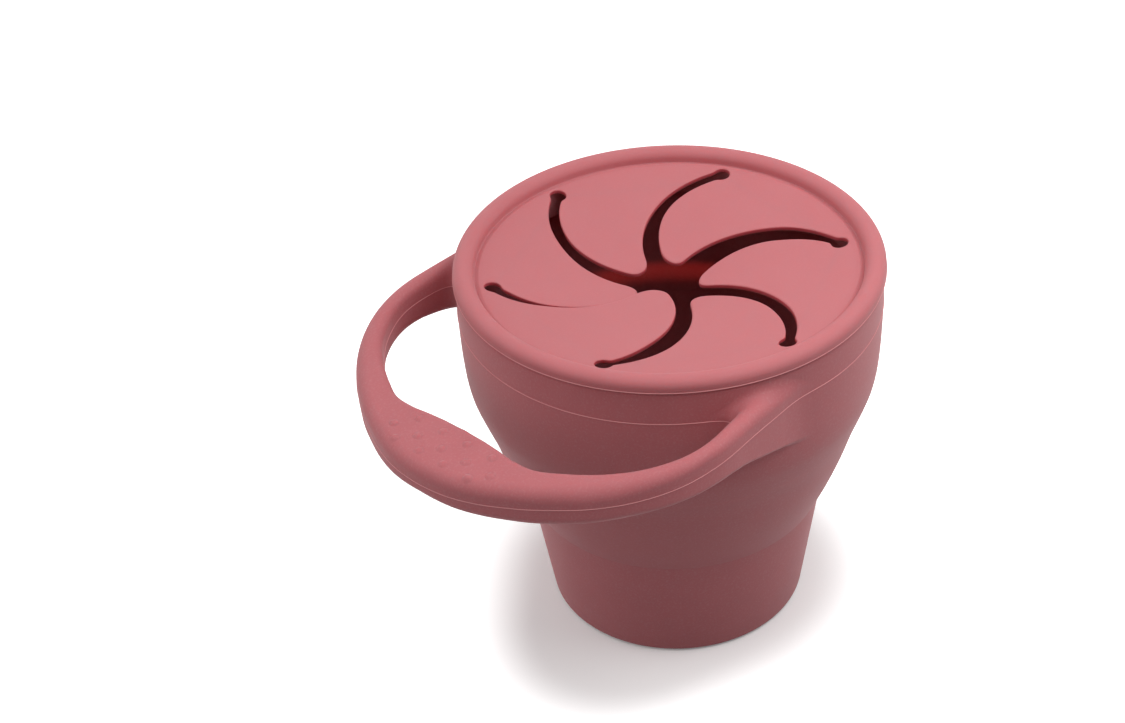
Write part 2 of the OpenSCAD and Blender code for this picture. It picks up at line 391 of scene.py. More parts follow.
def bead(name: str, path: Array, radius: float, sides: int = 8) -> bpy.types.Object:
    """Thin round bead along a closed path.

    Args:
        name: Name of the piece.
        path: Points of the centre line in mm; the last joins the first.
        radius: Radius of the bead in mm.
        sides: Faces round the bead.

    Returns:
        The bead as a closed mesh.
    """
    count = len(path)
    run = unit(np.roll(path, -1, 0) - np.roll(path, 1, 0))
    side = unit(np.cross(run, [0.0, 0.0, 1.0]))
    up = np.cross(side, run)
    rings = [
        path + radius * (side * math.cos(a) + up * math.sin(a))
        for a in full_turn(sides)
    ]
    faces = []
    for i in range(count):
        k = (i + 1) % count
        for j in range(sides):
            n = (j + 1) % sides
            faces.append((i * sides + j, i * sides + n, k * sides + n, k * sides + j))
    return new_piece(name, np.stack(rings, 1).reshape(-1, 3), faces)


# ---------------------------------------------------------------- finishes


class NodeSheet:
    """Small helper that places and joins shader nodes."""

    column_width: ClassVar[int] = 180

    def __init__(self, tree: bpy.types.NodeTree) -> None:
        """Works on one node tree."""
        self.tree = tree
        self.column = 0

    def add(self, kind: str, **settings: object) -> bpy.types.Node:
        """Adds a node.

        Args:
            kind: Type of the node.
            **settings: Properties that the node gets.

        Returns:
            The node.
        """
        node = self.tree.nodes.new(kind)
        self.column += 1
        node.location = (self.column * self.column_width, 0)
        for key, value in settings.items():
            setattr(node, key, value)
        return node

    def join(self, start: Socket, end: Socket) -> None:
        """Links an output to an input."""
        self.tree.links.new(start, end)

    def feed(self, source: Socket | Colour | float, end: Socket) -> None:
        """Gives an input what it takes.

        Args:
            source: Output to link, or a fixed colour or value.
            end: The input.
        """
        if isinstance(source, Socket):
            self.join(source, end)
        else:
            end.default_value = (*source, 1.0) if isinstance(source, tuple) else source

    def reckon(
        self, operation: str, first: Socket, second: Socket | float, clamp: bool = False
    ) -> Socket:
        """Adds a node that reckons with two values.

        Args:
            operation: What it does with them, such as MULTIPLY.
            first: First value.
            second: Second value.
            clamp: Whether the result is held between 0 and 1.

        Returns:
            The result.
        """
        node = self.add("ShaderNodeMath", operation=operation, use_clamp=clamp)
        self.join(first, node.inputs[0])
        self.feed(second, node.inputs[1])
        return node.outputs["Value"]

    def between(self, value: Socket, low: Socket | float, high: Socket | float) -> Socket:
        """Turns 0 to 1 into a run from low to high.

        Args:
            value: Value from 0 to 1.
            low: What 0 becomes.
            high: What 1 becomes.

        Returns:
            The value in its new range.
        """
        node = self.add("ShaderNodeMapRange")
        self.join(value, node.inputs["Value"])
        self.feed(low, node.inputs["To Min"])
        self.feed(high, node.inputs["To Max"])
        return node.outputs["Result"]

    def spread(self, value: Socket, span: Point, kind: str = "LINEAR") -> Socket:
        """Stretches a value over 0 to 1.

        Args:
            value: The value.
            span: What becomes 0 and what becomes 1.
            kind: Interpolation between the two.

        Returns:
            The stretched value.
        """
        node = self.add("ShaderNodeMapRange", interpolation_type=kind)
        node.inputs["From Min"].default_value, node.inputs["From Max"].default_value = span
        self.join(value, node.inputs["Value"])
        return node.outputs["Result"]

    def mixed(self, share: Socket, first: Socket | Colour, second: Socket | Colour) -> Socket:
        """Mixes two colours.

        Args:
            share: 0 for the first colour to 1 for the second.
            first: First colour, or the output that gives it.
            second: Second colour, or the output that gives it.

        Returns:
            The mixed colour.
        """
        node = self.add("ShaderNodeMix", data_type="RGBA")
        self.join(share, node.inputs["Factor"])
        self.feed(first, node.inputs["A"])
        self.feed(second, node.inputs["B"])
        return node.outputs["Result"]

    def size_along(self, vector: Socket, axes: str) -> Socket:
        """Length of a vector measured along some of its axes only.

        Args:
            vector: The vector.
            axes: Letters of the axes that count.

        Returns:
            The length.
        """
        split = self.add("ShaderNodeSeparateXYZ")
        self.join(vector, split.inputs["Vector"])
        part = self.add("ShaderNodeCombineXYZ")
        for axis in axes:
            self.join(split.outputs[axis], part.inputs[axis])
        size = self.add("ShaderNodeVectorMath", operation="LENGTH")
        self.join(part.outputs["Vector"], size.inputs[0])
        return size.outputs["Value"]


class SharedGroup:
    """Shader node group that is built once and placed in each material that needs it."""

    name: ClassVar[str]
    inputs: ClassVar[dict[str, str]] = {}
    outputs: ClassVar[dict[str, str]]

    def tree(self) -> bpy.types.NodeTree:
        """Finds the group, or builds it when it is first needed.

        Returns:
            The group's node tree.
        """
        tree = bpy.data.node_groups.get(self.name)
        if tree is None:
            tree = bpy.data.node_groups.new(self.name, "ShaderNodeTree")
            for way, sockets in (("INPUT", self.inputs), ("OUTPUT", self.outputs)):
                for label, kind in sockets.items():
                    tree.interface.new_socket(label, in_out=way, socket_type=f"NodeSocket{kind}")
            self.fill(NodeSheet(tree))
        return tree

    def fill(self, sheet: NodeSheet) -> None:
        """Places the group's nodes on a sheet; each group has its own way."""
        raise NotImplementedError


@dataclass(frozen=True)
class SoftTouchSkin(SharedGroup):
    """Skin of all the silicone: three tones make a clouded, freckled colour over a fine grain."""

    name = "soft_touch_skin"
    inputs = {
        "Tone": "Color", "Deep tone": "Color", "Dust tone": "Color", "Cloud scale": "Float",
        "Grain scale": "Float", "Dust amount": "Float", "Smooth": "Float", "Rough": "Float",
    }
    outputs = {"Color": "Color", "Roughness": "Float", "Height": "Float"}
    cloud_detail: float = 3.0
    cloud_span: Point = (0.35, 0.65)
    grain_detail: float = 2.0
    speck_span: Point = (0.5, 0.85)

    def fill(self, sheet: NodeSheet) -> None:
        """Places the group's nodes.

        Args:
            sheet: Where the nodes go.
        """
        given, made = sheet.add("NodeGroupInput").outputs, sheet.add("NodeGroupOutput").inputs
        place = sheet.add("ShaderNodeTexCoord").outputs["Object"]
        noises = []
        for detail, scale in ((self.cloud_detail, "Cloud scale"), (self.grain_detail, "Grain scale")):
            noise = sheet.add("ShaderNodeTexNoise")
            noise.inputs["Detail"].default_value = detail
            sheet.join(place, noise.inputs["Vector"])
            sheet.join(given[scale], noise.inputs["Scale"])
            noises.append(noise.outputs["Fac"])
        cloud, grain = noises
        clouded = sheet.mixed(sheet.spread(cloud, self.cloud_span), given["Deep tone"], given["Tone"])
        specks = sheet.reckon("MULTIPLY", sheet.spread(grain, self.speck_span), given["Dust amount"])
        sheet.join(sheet.mixed(specks, clouded, given["Dust tone"]), made["Color"])
        sheet.join(sheet.between(cloud, given["Smooth"], given["Rough"]), made["Roughness"])
        sheet.join(grain, made["Height"])


@dataclass(frozen=True)
class PaintedWallGlow(SharedGroup):
    """Painted glow: a faint red emission inside the cup where its wall begins to thin, standing in for
    daylight that comes through the wall.

    Each span says in mm where the painted glow is gone and where it is full.
    """

    name = "painted_wall_glow"
    outputs = {"Color": "Color"}
    wall_span: Point = (46.4, 46.0)
    top_span: Point = (64.5, 62.0)
    foot_span: Point = (57.0, 61.5)
    red: Colour = (1.0, 0.03, 0.02)

    def fill(self, sheet: NodeSheet) -> None:
        """Places the group's nodes.

        Args:
            sheet: Where the nodes go.
        """
        made = sheet.add("NodeGroupOutput").inputs
        place = sheet.add("ShaderNodeTexCoord").outputs["Object"]
        height = sheet.add("ShaderNodeSeparateXYZ")
        sheet.join(place, height.inputs["Vector"])
        masks = [
            sheet.spread(source, (dark * MM, bright * MM), "SMOOTHSTEP")
            for source, (dark, bright) in (
                (sheet.size_along(place, "XY"), self.wall_span),
                (height.outputs["Z"], self.top_span),
                (height.outputs["Z"], self.foot_span),
            )
        ]
        both = sheet.reckon("MULTIPLY", masks[0], masks[1])
        every = sheet.reckon("MULTIPLY", both, masks[2])
        sheet.join(sheet.mixed(every, BLACK, self.red), made["Color"])


@dataclass(frozen=True)
class SlotWallShade(SharedGroup):
    """Mask that is 1 on the upright walls cut into the lid's plate and 0 on its flat faces; it lays the
    painted shade on the slot walls.

    Each span says where the mask is 0 and where it is 1.
    """

    name = "slot_wall_painted_shade"
    outputs = {"Mask": "Float"}
    upright_span: Point = (0.75, 0.15)
    plate_span: Point = (43.95, 43.75)

    def fill(self, sheet: NodeSheet) -> None:
        """Places the group's nodes.

        Args:
            sheet: Where the nodes go.
        """
        made = sheet.add("NodeGroupOutput").inputs
        place = sheet.add("ShaderNodeTexCoord").outputs
        outer, inner = self.plate_span
        upright = sheet.spread(sheet.size_along(place["Normal"], "Z"), self.upright_span, "SMOOTHSTEP")
        plate = sheet.spread(sheet.size_along(place["Object"], "XY"), (outer * MM, inner * MM), "SMOOTHSTEP")
        sheet.join(sheet.reckon("MULTIPLY", upright, plate), made["Mask"])


@dataclass(frozen=True)
class Silicone:
    """Matt, soft-touch moulded silicone in one shade."""

    name: str
    tone: Colour
    deep: Colour
    dust: Colour
    dust_amount: float = 0.3
    cloud_scale: float = 90.0
    grain_scale: float = 1900.0
    smooth: float = 0.5
    rough: float = 0.66
    sheen: float = 0.1
    sheen_rough: float = 0.45
    sheen_tint: Colour = (1.0, 0.93, 0.93)
    grain_depth: float = 0.00006
    grain_strength: float = 0.22
    ior: float = 1.41
    shininess: float = 0.28
    glow: float = 0.3
    glow_depth: float = 0.0012
    glow_reach: Colour = (1.0, 0.16, 0.14)
    # Strength of the painted glow, an emission band inside the upper wall; it is no lamp.
    painted_glow: float = 0.0
    # cut is a painted shade: a darker, deeper red on the lid's slot walls for the shade and reddened light
    # inside the slots.
    cut: Colour | None = None

    def material(self) -> bpy.types.Material:
        """Builds the material.

        Returns:
            The material, with its tones, grain, sheen and depth.
        """
        made = bpy.data.materials.new(self.name)
        made.use_nodes = True
        sheet = NodeSheet(made.node_tree)
        shader = made.node_tree.nodes["Principled BSDF"].inputs
        skin = sheet.add("ShaderNodeGroup", node_tree=SoftTouchSkin().tree())
        for label, value in (
            ("Tone", self.tone),
            ("Deep tone", self.deep),
            ("Dust tone", self.dust),
            ("Cloud scale", self.cloud_scale),
            ("Grain scale", self.grain_scale),
            ("Dust amount", self.dust_amount),
            ("Smooth", self.smooth),
            ("Rough", self.rough),
        ):
            sheet.feed(value, skin.inputs[label])
        bump = sheet.add("ShaderNodeBump")
        bump.inputs["Strength"].default_value = self.grain_strength
        bump.inputs["Distance"].default_value = self.grain_depth
        sheet.join(skin.outputs["Height"], bump.inputs["Height"])
        colour = skin.outputs["Color"]
        # Painted shade: the slot walls take the darker cut tone.
        if self.cut is not None:
            walls = sheet.add("ShaderNodeGroup", node_tree=SlotWallShade().tree())
            colour = sheet.mixed(walls.outputs["Mask"], colour, self.cut)
        sheet.join(colour, shader["Base Color"])
        sheet.join(skin.outputs["Roughness"], shader["Roughness"])
        sheet.join(bump.outputs["Normal"], shader["Normal"])
        shader["IOR"].default_value = self.ior
        shader["Specular IOR Level"].default_value = self.shininess
        shader["Sheen Weight"].default_value = self.sheen
        shader["Sheen Roughness"].default_value = self.sheen_rough
        shader["Sheen Tint"].default_value = (*self.sheen_tint, 1.0)
        if self.glow > 0:
            shader["Subsurface Weight"].default_value = self.glow
            shader["Subsurface Radius"].default_value = self.glow_reach
            shader["Subsurface Scale"].default_value = self.glow_depth
        # Painted glow: a red emission band inside the cup stands in for light through the wall.
        if self.painted_glow > 0:
            ring = sheet.add("ShaderNodeGroup", node_tree=PaintedWallGlow().tree())
            shader["Emission Strength"].default_value = self.painted_glow
            sheet.join(ring.outputs["Color"], shader["Emission Color"])
        return made


CUP_FINISH = Silicone("cup_silicone_rose", (0.54, 0.165, 0.18), (0.52, 0.155, 0.17), (0.62, 0.3, 0.31))
# The upper wall's finish adds the painted glow band inside the cup.
WALL_PAINTED_GLOW_FINISH = replace(CUP_FINISH, name="wall_silicone_painted_glow", painted_glow=0.1)
LID_FINISH = Silicone(
    "lid_silicone_rose", (0.58, 0.185, 0.2), (0.57, 0.18, 0.195), (0.64, 0.28, 0.29), dust_amount=0.12,
    # cut below is the painted shade of the lid's slot walls.
    sheen=0.04, glow=0.4, glow_depth=0.0014, cut=(0.5, 0.075, 0.09),
)
# Mould lines: their lighter tone is a painted highlight for the light that their thin raised bead catches.
FLASH_HIGHLIGHT_FINISH = Silicone(
    "mould_line_painted_highlight", (0.78, 0.34, 0.35), (0.76, 0.32, 0.33), (0.8, 0.4, 0.41), sheen=0.0,
    shininess=0.0, glow=0.0,
)


def dress(piece: bpy.types.Object, material: bpy.types.Material) -> bpy.types.Object:
    """Gives a piece its finish.

    Args:
        piece: The piece.
        material: Its material.

    Returns:
        The same piece.
    """
    piece.data.materials.append(material)
    return piece


# ---------------------------------------------------------------- the cup


@dataclass
class CupWall:
    """Outer and inner outlines that the base, the fold and the upper wall share."""

    outer: list[Point] = field(
        default_factory=lambda: [
            (30.8, 36.0), (38.5, 39.4), (46.1, 42.2), (53.8, 44.6), (55.5, 45.2), (61.4, 47.3),
            (65.0, 48.4), (69.0, 49.0), (76.7, 49.46), (84.3, 49.6), (92.6, 49.6),
        ]
    )
    thickness: list[Point] = field(
        default_factory=lambda: [
            (24.0, 2.4), (30.8, 1.6), (34.0, 1.5), (50.0, 1.5), (55.5, 1.7), (60.0, 2.8),
            (84.3, 3.0), (92.6, 3.1),
        ]
    )
    foot_r: float = 31.3
    crease_z: float = 30.8
    fold_top_z: float = 55.5
    top_z: float = 92.6
    step: float = 1.1

    def outer_r(self, z: Array | float) -> Array:
        """Outer radius at height z, from the crease up."""
        return hermite(self.outer, z)

    def inner_r(self, z: Array | float) -> Array:
        """Inner radius at height z, from the crease up."""
        return self.outer_r(z) - hermite(self.thickness, z)

    def levels(self, low: float, high: float) -> Array:
        """Heights at which a stretch of wall has its rings."""
        return np.linspace(low, high, max(2, int(round((high - low) / self.step)) + 1))


@dataclass
class BaseCup:
    """Stiff base section that the cup stands on."""

    wall: CupWall
    floor: float = 2.6
    foot_round: float = 1.6
    floor_round: float = 3.0
    dent_r: float = 22.0
    dent: float = 0.5
    dent_round: float = 1.0
    thickness: float = 2.4
    thins_over: float = 5.0
    thin_round: float = 4.0

    def build(self, material: bpy.types.Material) -> bpy.types.Object:
        """Makes the base with its rounded foot, shallow underside and smooth floor.

        Args:
            material: Material of the piece.

        Returns:
            The base section.
        """
        w = self.wall
        crease_r = float(w.outer_r(w.crease_z))
        lip = crease_r - float(hermite(w.thickness, w.crease_z))
        lean = (crease_r - w.foot_r) / w.crease_z
        inner = w.foot_r + lean * self.floor - self.thickness
        thin = crease_r - self.thickness - self.thins_over * lean
        section = rounded(
            [
                (0.0, self.dent, 0.0),
                (self.dent_r, self.dent, self.dent_round),
                (self.dent_r + self.dent, 0.0, self.dent_round),
                (w.foot_r, 0.0, self.foot_round),
                (crease_r, w.crease_z, 0.0),
                (lip, w.crease_z, 0.0),
                (thin, w.crease_z - self.thins_over, self.thin_round),
                (inner, self.floor, self.floor_round),
                (0.0, self.floor, 0.0),
            ]
        )
        piece = revolve("base_section", section, frozenset({section.index((crease_r, w.crease_z))}))
        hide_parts("base_cup")
        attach(piece, "base")
        return dress(piece, material)


@dataclass
class FoldWall:
    """Thin wall that turns inside out when the cup is pressed flat."""

    wall: CupWall

    def build(self, material: bpy.types.Material) -> bpy.types.Object:
        """Makes the thin wall that runs between the base and the upper wall.

        Args:
            material: Material of the piece.

        Returns:
            The fold wall.
        """
        w = self.wall
        z = w.levels(w.crease_z, w.fold_top_z)
        section = [(float(w.outer_r(h)), float(h)) for h in z]
        section += [(float(w.inner_r(h)), float(h)) for h in z[::-1]]
        piece = revolve("folding_wall", section, frozenset({len(z) - 1, 2 * len(z) - 1}))
        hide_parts("fold_wall")
        dress(piece, material)
        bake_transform(piece)
        return piece


@dataclass
class UpperWall:
    """Wall above the fold with the band that takes the lid."""

    wall: CupWall
    lip_round: float = 0.9
    lip: float = 2.0
    rings_end: float = 3.0

    def build(self, material: bpy.types.Material) -> bpy.types.Object:
        """Makes the upper wall with its rounded top edge.

        Args:
            material: Material of the piece.

        Returns:
            The upper wall and rim.
        """
        w = self.wall
        z = w.levels(w.fold_top_z, w.top_z - self.rings_end)
        top_out, top_in = float(w.outer_r(w.top_z)), float(w.inner_r(w.top_z))
        lip = rounded(
            [
                (top_out, w.top_z - self.lip, 0.0),
                (top_out, w.top_z, self.lip_round),
                (top_in, w.top_z, self.lip_round),
                (top_in, w.top_z - self.lip, 0.0),
            ]
        )
        section = [(float(w.outer_r(h)), float(h)) for h in z] + lip
        section += [(float(w.inner_r(h)), float(h)) for h in z[::-1]]
        piece = revolve("upper_wall_and_rim", section, frozenset({len(section) - 1}))
        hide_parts("upper_wall", "cup_rim")
        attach(piece, "upper")
        return dress(piece, material)


@dataclass
class LoopHandle:
    """Loop that grows out of the wall, dips a little and widens into a thumb pad.

    Its outlines are knots (station, value): a station is the angle in degrees from the middle of the
    pad, and runs on along the straight legs.
    """

    wall: CupWall
    centre_x: float = 33.6
    plane_z: float = 84.3
    dip_from: float = 32.0
    dip_soft: float = 10.0
    dip: float = 0.08
    outer: list[Point] = field(
        default_factory=lambda: [
            (0.0, 49.3), (9.0, 49.2), (18.0, 48.76), (27.0, 48.33), (36.0, 48.3), (45.0, 48.8),
            (57.0, 49.45), (69.0, 49.75), (80.0, 49.4), (92.0, 48.8), (106.0, 48.35), (117.0, 47.6),
            (140.0, 45.4),
        ]
    )
    inner: list[Point] = field(
        default_factory=lambda: [
            (0.0, 33.7), (8.0, 34.2), (16.0, 35.6), (24.0, 38.1), (32.0, 40.3), (40.0, 41.2),
            (50.0, 42.7), (64.0, 44.7), (77.0, 45.6), (90.0, 44.5), (106.0, 43.3), (117.0, 42.6),
            (140.0, 40.4),
        ]
    )
    over: list[Point] = field(
        default_factory=lambda: [
            (0.0, 4.7), (40.0, 4.6), (90.0, 4.65), (112.0, 4.65), (124.0, 4.0), (140.0, 3.0),
        ]
    )
    under: list[Point] = field(
        default_factory=lambda: [
            (0.0, 3.7), (18.0, 4.6), (40.0, 5.3), (60.0, 5.0), (75.0, 5.4), (90.0, 6.6), (101.0, 8.9),
            (112.0, 11.5), (122.0, 12.9), (140.0, 13.4),
        ]
    )
    round_out: list[Point] = field(
        default_factory=lambda: [(0.0, 2.7), (36.0, 3.0), (60.0, 3.8), (140.0, 3.8)]
    )
    round_low: list[Point] = field(
        default_factory=lambda: [(0.0, 2.9), (72.0, 2.9), (90.0, 1.8), (104.0, 0.9), (140.0, 0.7)]
    )
    round_in: float = 2.15
    per_mm: float = 1.17
    last: float = 140.0
    leg_end: float = 4.0
    fillet: float = 7.0
    fillet_over: float = 3.4
    fillet_out: float = 1.6
    over_ramp: Point = (-4.5, 5.5)
    inside_ramp: Point = (-0.6, 3.0)
    below_ramp: Point = (-2.0, 3.0)
    tilt_step: float = 0.1
    near_axis: float = 1.0
    skin: float = 1.4
    feather: float = 0.93
    raised: float = 0.02
    highest: float = 91.8
    cell: float = 0.6
    box_low: tuple[float, float, float] = (-3.0, -51.0, 60.0)
    box_high: Point = (51.0, 93.0)
    box_past: float = 1.5

    def drop(self, x: Array) -> Array:
        """Height of the handle's parting surface at x."""
        over = soft_max(x - self.dip_from, np.zeros_like(x), self.dip_soft)
        return self.plane_z - self.dip * over

    def stations(self, p: Array) -> tuple[Array, Array]:
        """Finds where points lie along the loop.

        Args:
            p: Points in mm, one in each row.

        Returns:
            The station of each point, and how far out it lies from the loop's centre or middle line.
        """
        x, y = p[:, 0] - self.centre_x, np.abs(p[:, 1])
        on_leg = x < 0
        angle = np.degrees(np.arctan2(y, np.maximum(x, NEVER_ZERO)))
        station = np.where(on_leg, QUARTER - x * self.per_mm, angle)
        return np.clip(station, 0.0, self.last), np.where(on_leg, y, np.hypot(x, y))

    def bar(self, p: Array) -> Array:
        """Measures the distance to the bare bar of the handle.

        Args:
            p: Points in mm, one in each row.

        Returns:
            The signed distance in mm, negative inside the bar.
        """
        station, out = self.stations(p)
        outer = hermite(self.outer, station)
        width = outer - hermite(self.inner, station)
        depth, up = outer - out, p[:, 2] - self.drop(p[:, 0])
        high, low = hermite(self.over, station), hermite(self.under, station)
        top_half, out_half = up > (high - low) / 2, depth < width / 2
        edge = np.where(out_half, hermite(self.round_out, station), self.round_in)
        corner = np.where(top_half, edge, hermite(self.round_low, station))
        corner = np.minimum(corner, width / 2)
        qx = np.abs(depth - width / 2) - width / 2 + corner
        qz = np.abs(up - (high - low) / 2) - (high + low) / 2 + corner
        outside = np.hypot(np.maximum(qx, 0), np.maximum(qz, 0))
        bare = outside + np.minimum(np.maximum(qx, qz), 0) - corner
        return np.maximum(bare, self.leg_end - p[:, 0])

    def wall_depth(self, p: Array) -> Array:
        """Measures the distance to the outside of the cup's wall.

        Args:
            p: Points in mm, one in each row.

        Returns:
            The signed distance in mm, negative inside the cup.
        """
        z = np.clip(p[:, 2], self.wall.fold_top_z, self.wall.top_z)
        r = self.wall.outer_r(z)
        tilt = (self.wall.outer_r(z + self.tilt_step) - r) / self.tilt_step
        return (np.hypot(p[:, 0], p[:, 1]) - r) / np.sqrt(1 + tilt * tilt)

    def reach_of_fillet(self, p: Array) -> Array:
        """Sizes the root's fillet: wide inside the loop, tight elsewhere.

        Args:
            p: Points in mm, one in each row.

        Returns:
            The fillet's reach at each point, in mm.
        """
        station, out = self.stations(p)
        depth = hermite(self.outer, station) - out
        up = p[:, 2] - self.drop(p[:, 0])
        over, below = up - hermite(self.over, station), -hermite(self.under, station) - up
        side = self.fillet + (self.fillet_over - self.fillet) * ramp(over, *self.over_ramp)
        wide = ramp(depth, *self.inside_ramp) * (1 - ramp(below, *self.below_ramp))
        return self.fillet_out + (side - self.fillet_out) * wide

    def joined(self, p: Array) -> Array:
        """Field of the bar and the wall run softly together."""
        return soft_min(self.bar(p), self.wall_depth(p), self.reach_of_fillet(p))

    def on_wall(self, p: Array) -> Array:
        """Moves points straight in or out onto the outside of the wall.

        Args:
            p: Points in mm, one in each row.

        Returns:
            The moved points.
        """
        z = np.clip(p[:, 2], self.wall.fold_top_z, self.wall.top_z)
        away = np.maximum(np.hypot(p[:, 0], p[:, 1]), self.near_axis)
        moved = p.copy()
        moved[:, :2] *= (self.wall.outer_r(z) / away)[:, None]
        return moved

    def shape(self, p: Array) -> Array:
        """Field of the handle with soft roots that run out on the wall.

        Args:
            p: Points in mm, one in each row.

        Returns:
            The signed distance in mm, negative inside the piece.
        """
        foot = self.on_wall(p)
        edge = np.minimum(self.bar(p) + self.skin, self.bar(foot))
        edge = np.maximum(edge - self.feather * self.reach_of_fillet(foot), p[:, 2] - self.highest)
        sheet = np.maximum(self.joined(p) - self.raised, -(self.wall_depth(p) + self.skin))
        return np.maximum(sheet, edge)

    def build(self, material: bpy.types.Material) -> bpy.types.Object:
        """Makes the handle in one piece.

        Args:
            material: Material of the piece.

        Returns:
            The handle with its roots.
        """
        high = np.array([self.centre_x + self.outer[0][1] + self.box_past, *self.box_high])
        low = np.array(self.box_low)
        piece = skin_field("loop_handle", self.shape, self.joined, low, high, self.cell)
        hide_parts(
            "left_handle_root", "right_handle_root", "left_handle_arm", "right_handle_arm",
            "thumb_pad",
        )
        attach(piece, "upper")
        return dress(piece, material)


@dataclass
class GripDots:
    """Low round dots on the thumb pad: a middle row between two shorter rows."""

    handle: LoopHandle
    radius: float = 1.35
    height: float = 0.42
    pitch: float = 7.3
    row_x: float = 75.7
    shift_y: float = 0.7
    rows: tuple[tuple[float, int], ...] = ((-4.3, 4), (0.0, 5), (3.2, 4))
    swell: float = 1.3
    sunk: float = 0.015
    depth: float = 0.4
    rings: int = 6
    sides: int = 20
    halvings: int = 16
    search_over: float = 1.0

    def pad_top(self, x: Array, y: Array) -> Array:
        """Finds the pad's top over points of the plan.

        Args:
            x: Place along the pad's middle, in mm.
            y: Place across it, in mm.

        Returns:
            The height of the top in mm.
        """
        low = self.handle.drop(x)
        high = low + self.handle.over[0][1] + self.search_over
        for _ in range(self.halvings):
            z = (low + high) / 2
            under = self.handle.bar(np.stack([x, y, z], 1)) < 0
            low, high = np.where(under, z, low), np.where(under, high, z)
        return z

    def dot(self, x: float, y: float) -> Array:
        """Lays out one dot on the pad.

        Args:
            x: Middle of the dot along X, in mm.
            y: Middle of the dot along Y, in mm.

        Returns:
            Its middle, its rings from the middle out, and the ring of its foot.
        """
        turn = full_turn(self.sides)
        share = np.concatenate([[0.0], np.repeat(np.arange(1, self.rings + 1) / self.rings, self.sides)])
        angle = np.concatenate([[0.0], np.tile(turn, self.rings)])
        px, py = x + self.radius * share * np.cos(angle), y + self.radius * share * np.sin(angle)
        rise = self.height * np.cos(share**self.swell * math.pi / 2) ** 2 - self.sunk
        top = np.stack([px, py, self.pad_top(px, py) + rise], 1)
        foot = top[-self.sides :].copy()
        foot[:, 2] -= self.depth
        return np.concatenate([top, foot])

    def build(self, material: bpy.types.Material) -> bpy.types.Object:
        """Makes all the dots as one piece that follows the pad's top.

        Args:
            material: Material of the piece.

        Returns:
            The dots.
        """
        sides, verts, faces = self.sides, [], []
        for row, count in self.rows:
            for i in range(count):
                start = sum(len(v) for v in verts)
                y = (i - (count - 1) / 2) * self.pitch + self.shift_y
                verts.append(self.dot(self.row_x + row, y))
                for side in range(sides):
                    n = (side + 1) % sides
                    faces.append((start, start + 1 + side, start + 1 + n))
                    for level in range(self.rings):
                        a, b = start + 1 + level * sides, start + 1 + (level + 1) * sides
                        faces.append((a + side, b + side, b + n, a + n))
                last = start + 1 + self.rings * sides
                faces.append(tuple(last + side for side in range(sides))[::-1])
        piece = new_piece("grip_dots_soft", np.concatenate(verts), faces)
        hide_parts("grip_dots")
        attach(piece, "upper")
        return dress(piece, material)


@dataclass
class MouldLines:
    """Fine lines that the mould's halves leave on the cup and its handle."""

    handle: LoopHandle
    radius: float = 0.12
    outer_leg: float = 9.0
    inner_leg: float = 27.0
    leg_steps: int = 340
    outer_steps: int = 500
    inner_steps: int = 200
    run_past: float = 1.5
    end_past: float = 0.1
    rounds: int = 16
    pace: float = 0.8
    least: float = 0.2

    def on_surface(self, path: Array) -> Array:
        """Moves a path level onto the outer surface of cup and handle.

        Args:
            path: Points in mm, one in each row.

        Returns:
            The moved points.
        """
        h = self.handle
        for _ in range(self.rounds):
            g = gradient(h.joined, path)
            g[:, 2] = 0
            path = path - self.pace * g * (h.joined(path) / np.maximum((g * g).sum(1), self.least))[:, None]
        return path

    def along(self, knots: list[Point], leg_to: float) -> Array:
        """Plan of a line that follows one side of the loop from leg to leg.

        Args:
            knots: Outline of that side of the loop.
            leg_to: Where on X the line ends on both legs, in mm.

        Returns:
            The points of the line, seen from above.
        """
        h = self.handle
        last = QUARTER + (h.centre_x - leg_to) * h.per_mm
        station = np.arange(-last, last + self.end_past, last / self.leg_steps)
        size = np.abs(station)
        out = hermite(knots, size)
        angle = np.radians(np.clip(station, -QUARTER, QUARTER))
        on_leg = size > QUARTER
        x = np.where(on_leg, h.centre_x - (size - QUARTER) / h.per_mm, h.centre_x + out * np.cos(angle))
        return np.stack([x, np.where(on_leg, np.sign(station) * out, out * np.sin(angle))], 1)

    def build(self, material: bpy.types.Material) -> list[bpy.types.Object]:
        """Makes the line round the outside and the one inside the loop.

        Args:
            material: Material of both lines.

        Returns:
            The two lines.
        """
        h = self.handle
        made = []
        rim = float(h.wall.outer_r(h.plane_z))
        outer, inner = self.along(h.outer, self.outer_leg), self.along(h.inner, self.inner_leg)
        for name, leg, way in (("cup_mould_line", outer, 1), ("loop_mould_line", inner, -1)):
            end = math.atan2(leg[-1][1], leg[-1][0]) + way * math.radians(self.run_past)
            stop, steps = (ALL_ROUND - end, self.outer_steps) if way > 0 else (-end, self.inner_steps)
            round_wall = circle(rim, np.linspace(end, stop, steps), h.plane_z)
            path = np.concatenate([np.column_stack([leg, h.drop(leg[:, 0])]), round_wall])
            piece = bead(name, self.on_surface(path), self.radius)
            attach(piece, "upper")
            made.append(dress(piece, material))
        return made


# ---------------------------------------------------------------- the lid


@dataclass(frozen=True)
class SlotCut:
    """One curved slot, from its relief hole to the middle of the lid, in mm and degrees."""

    hole_ring: float
    hole_side: float
    turn: float
    curve_r: float
    neck: float
    middle: float
    belly: float
    bow: float


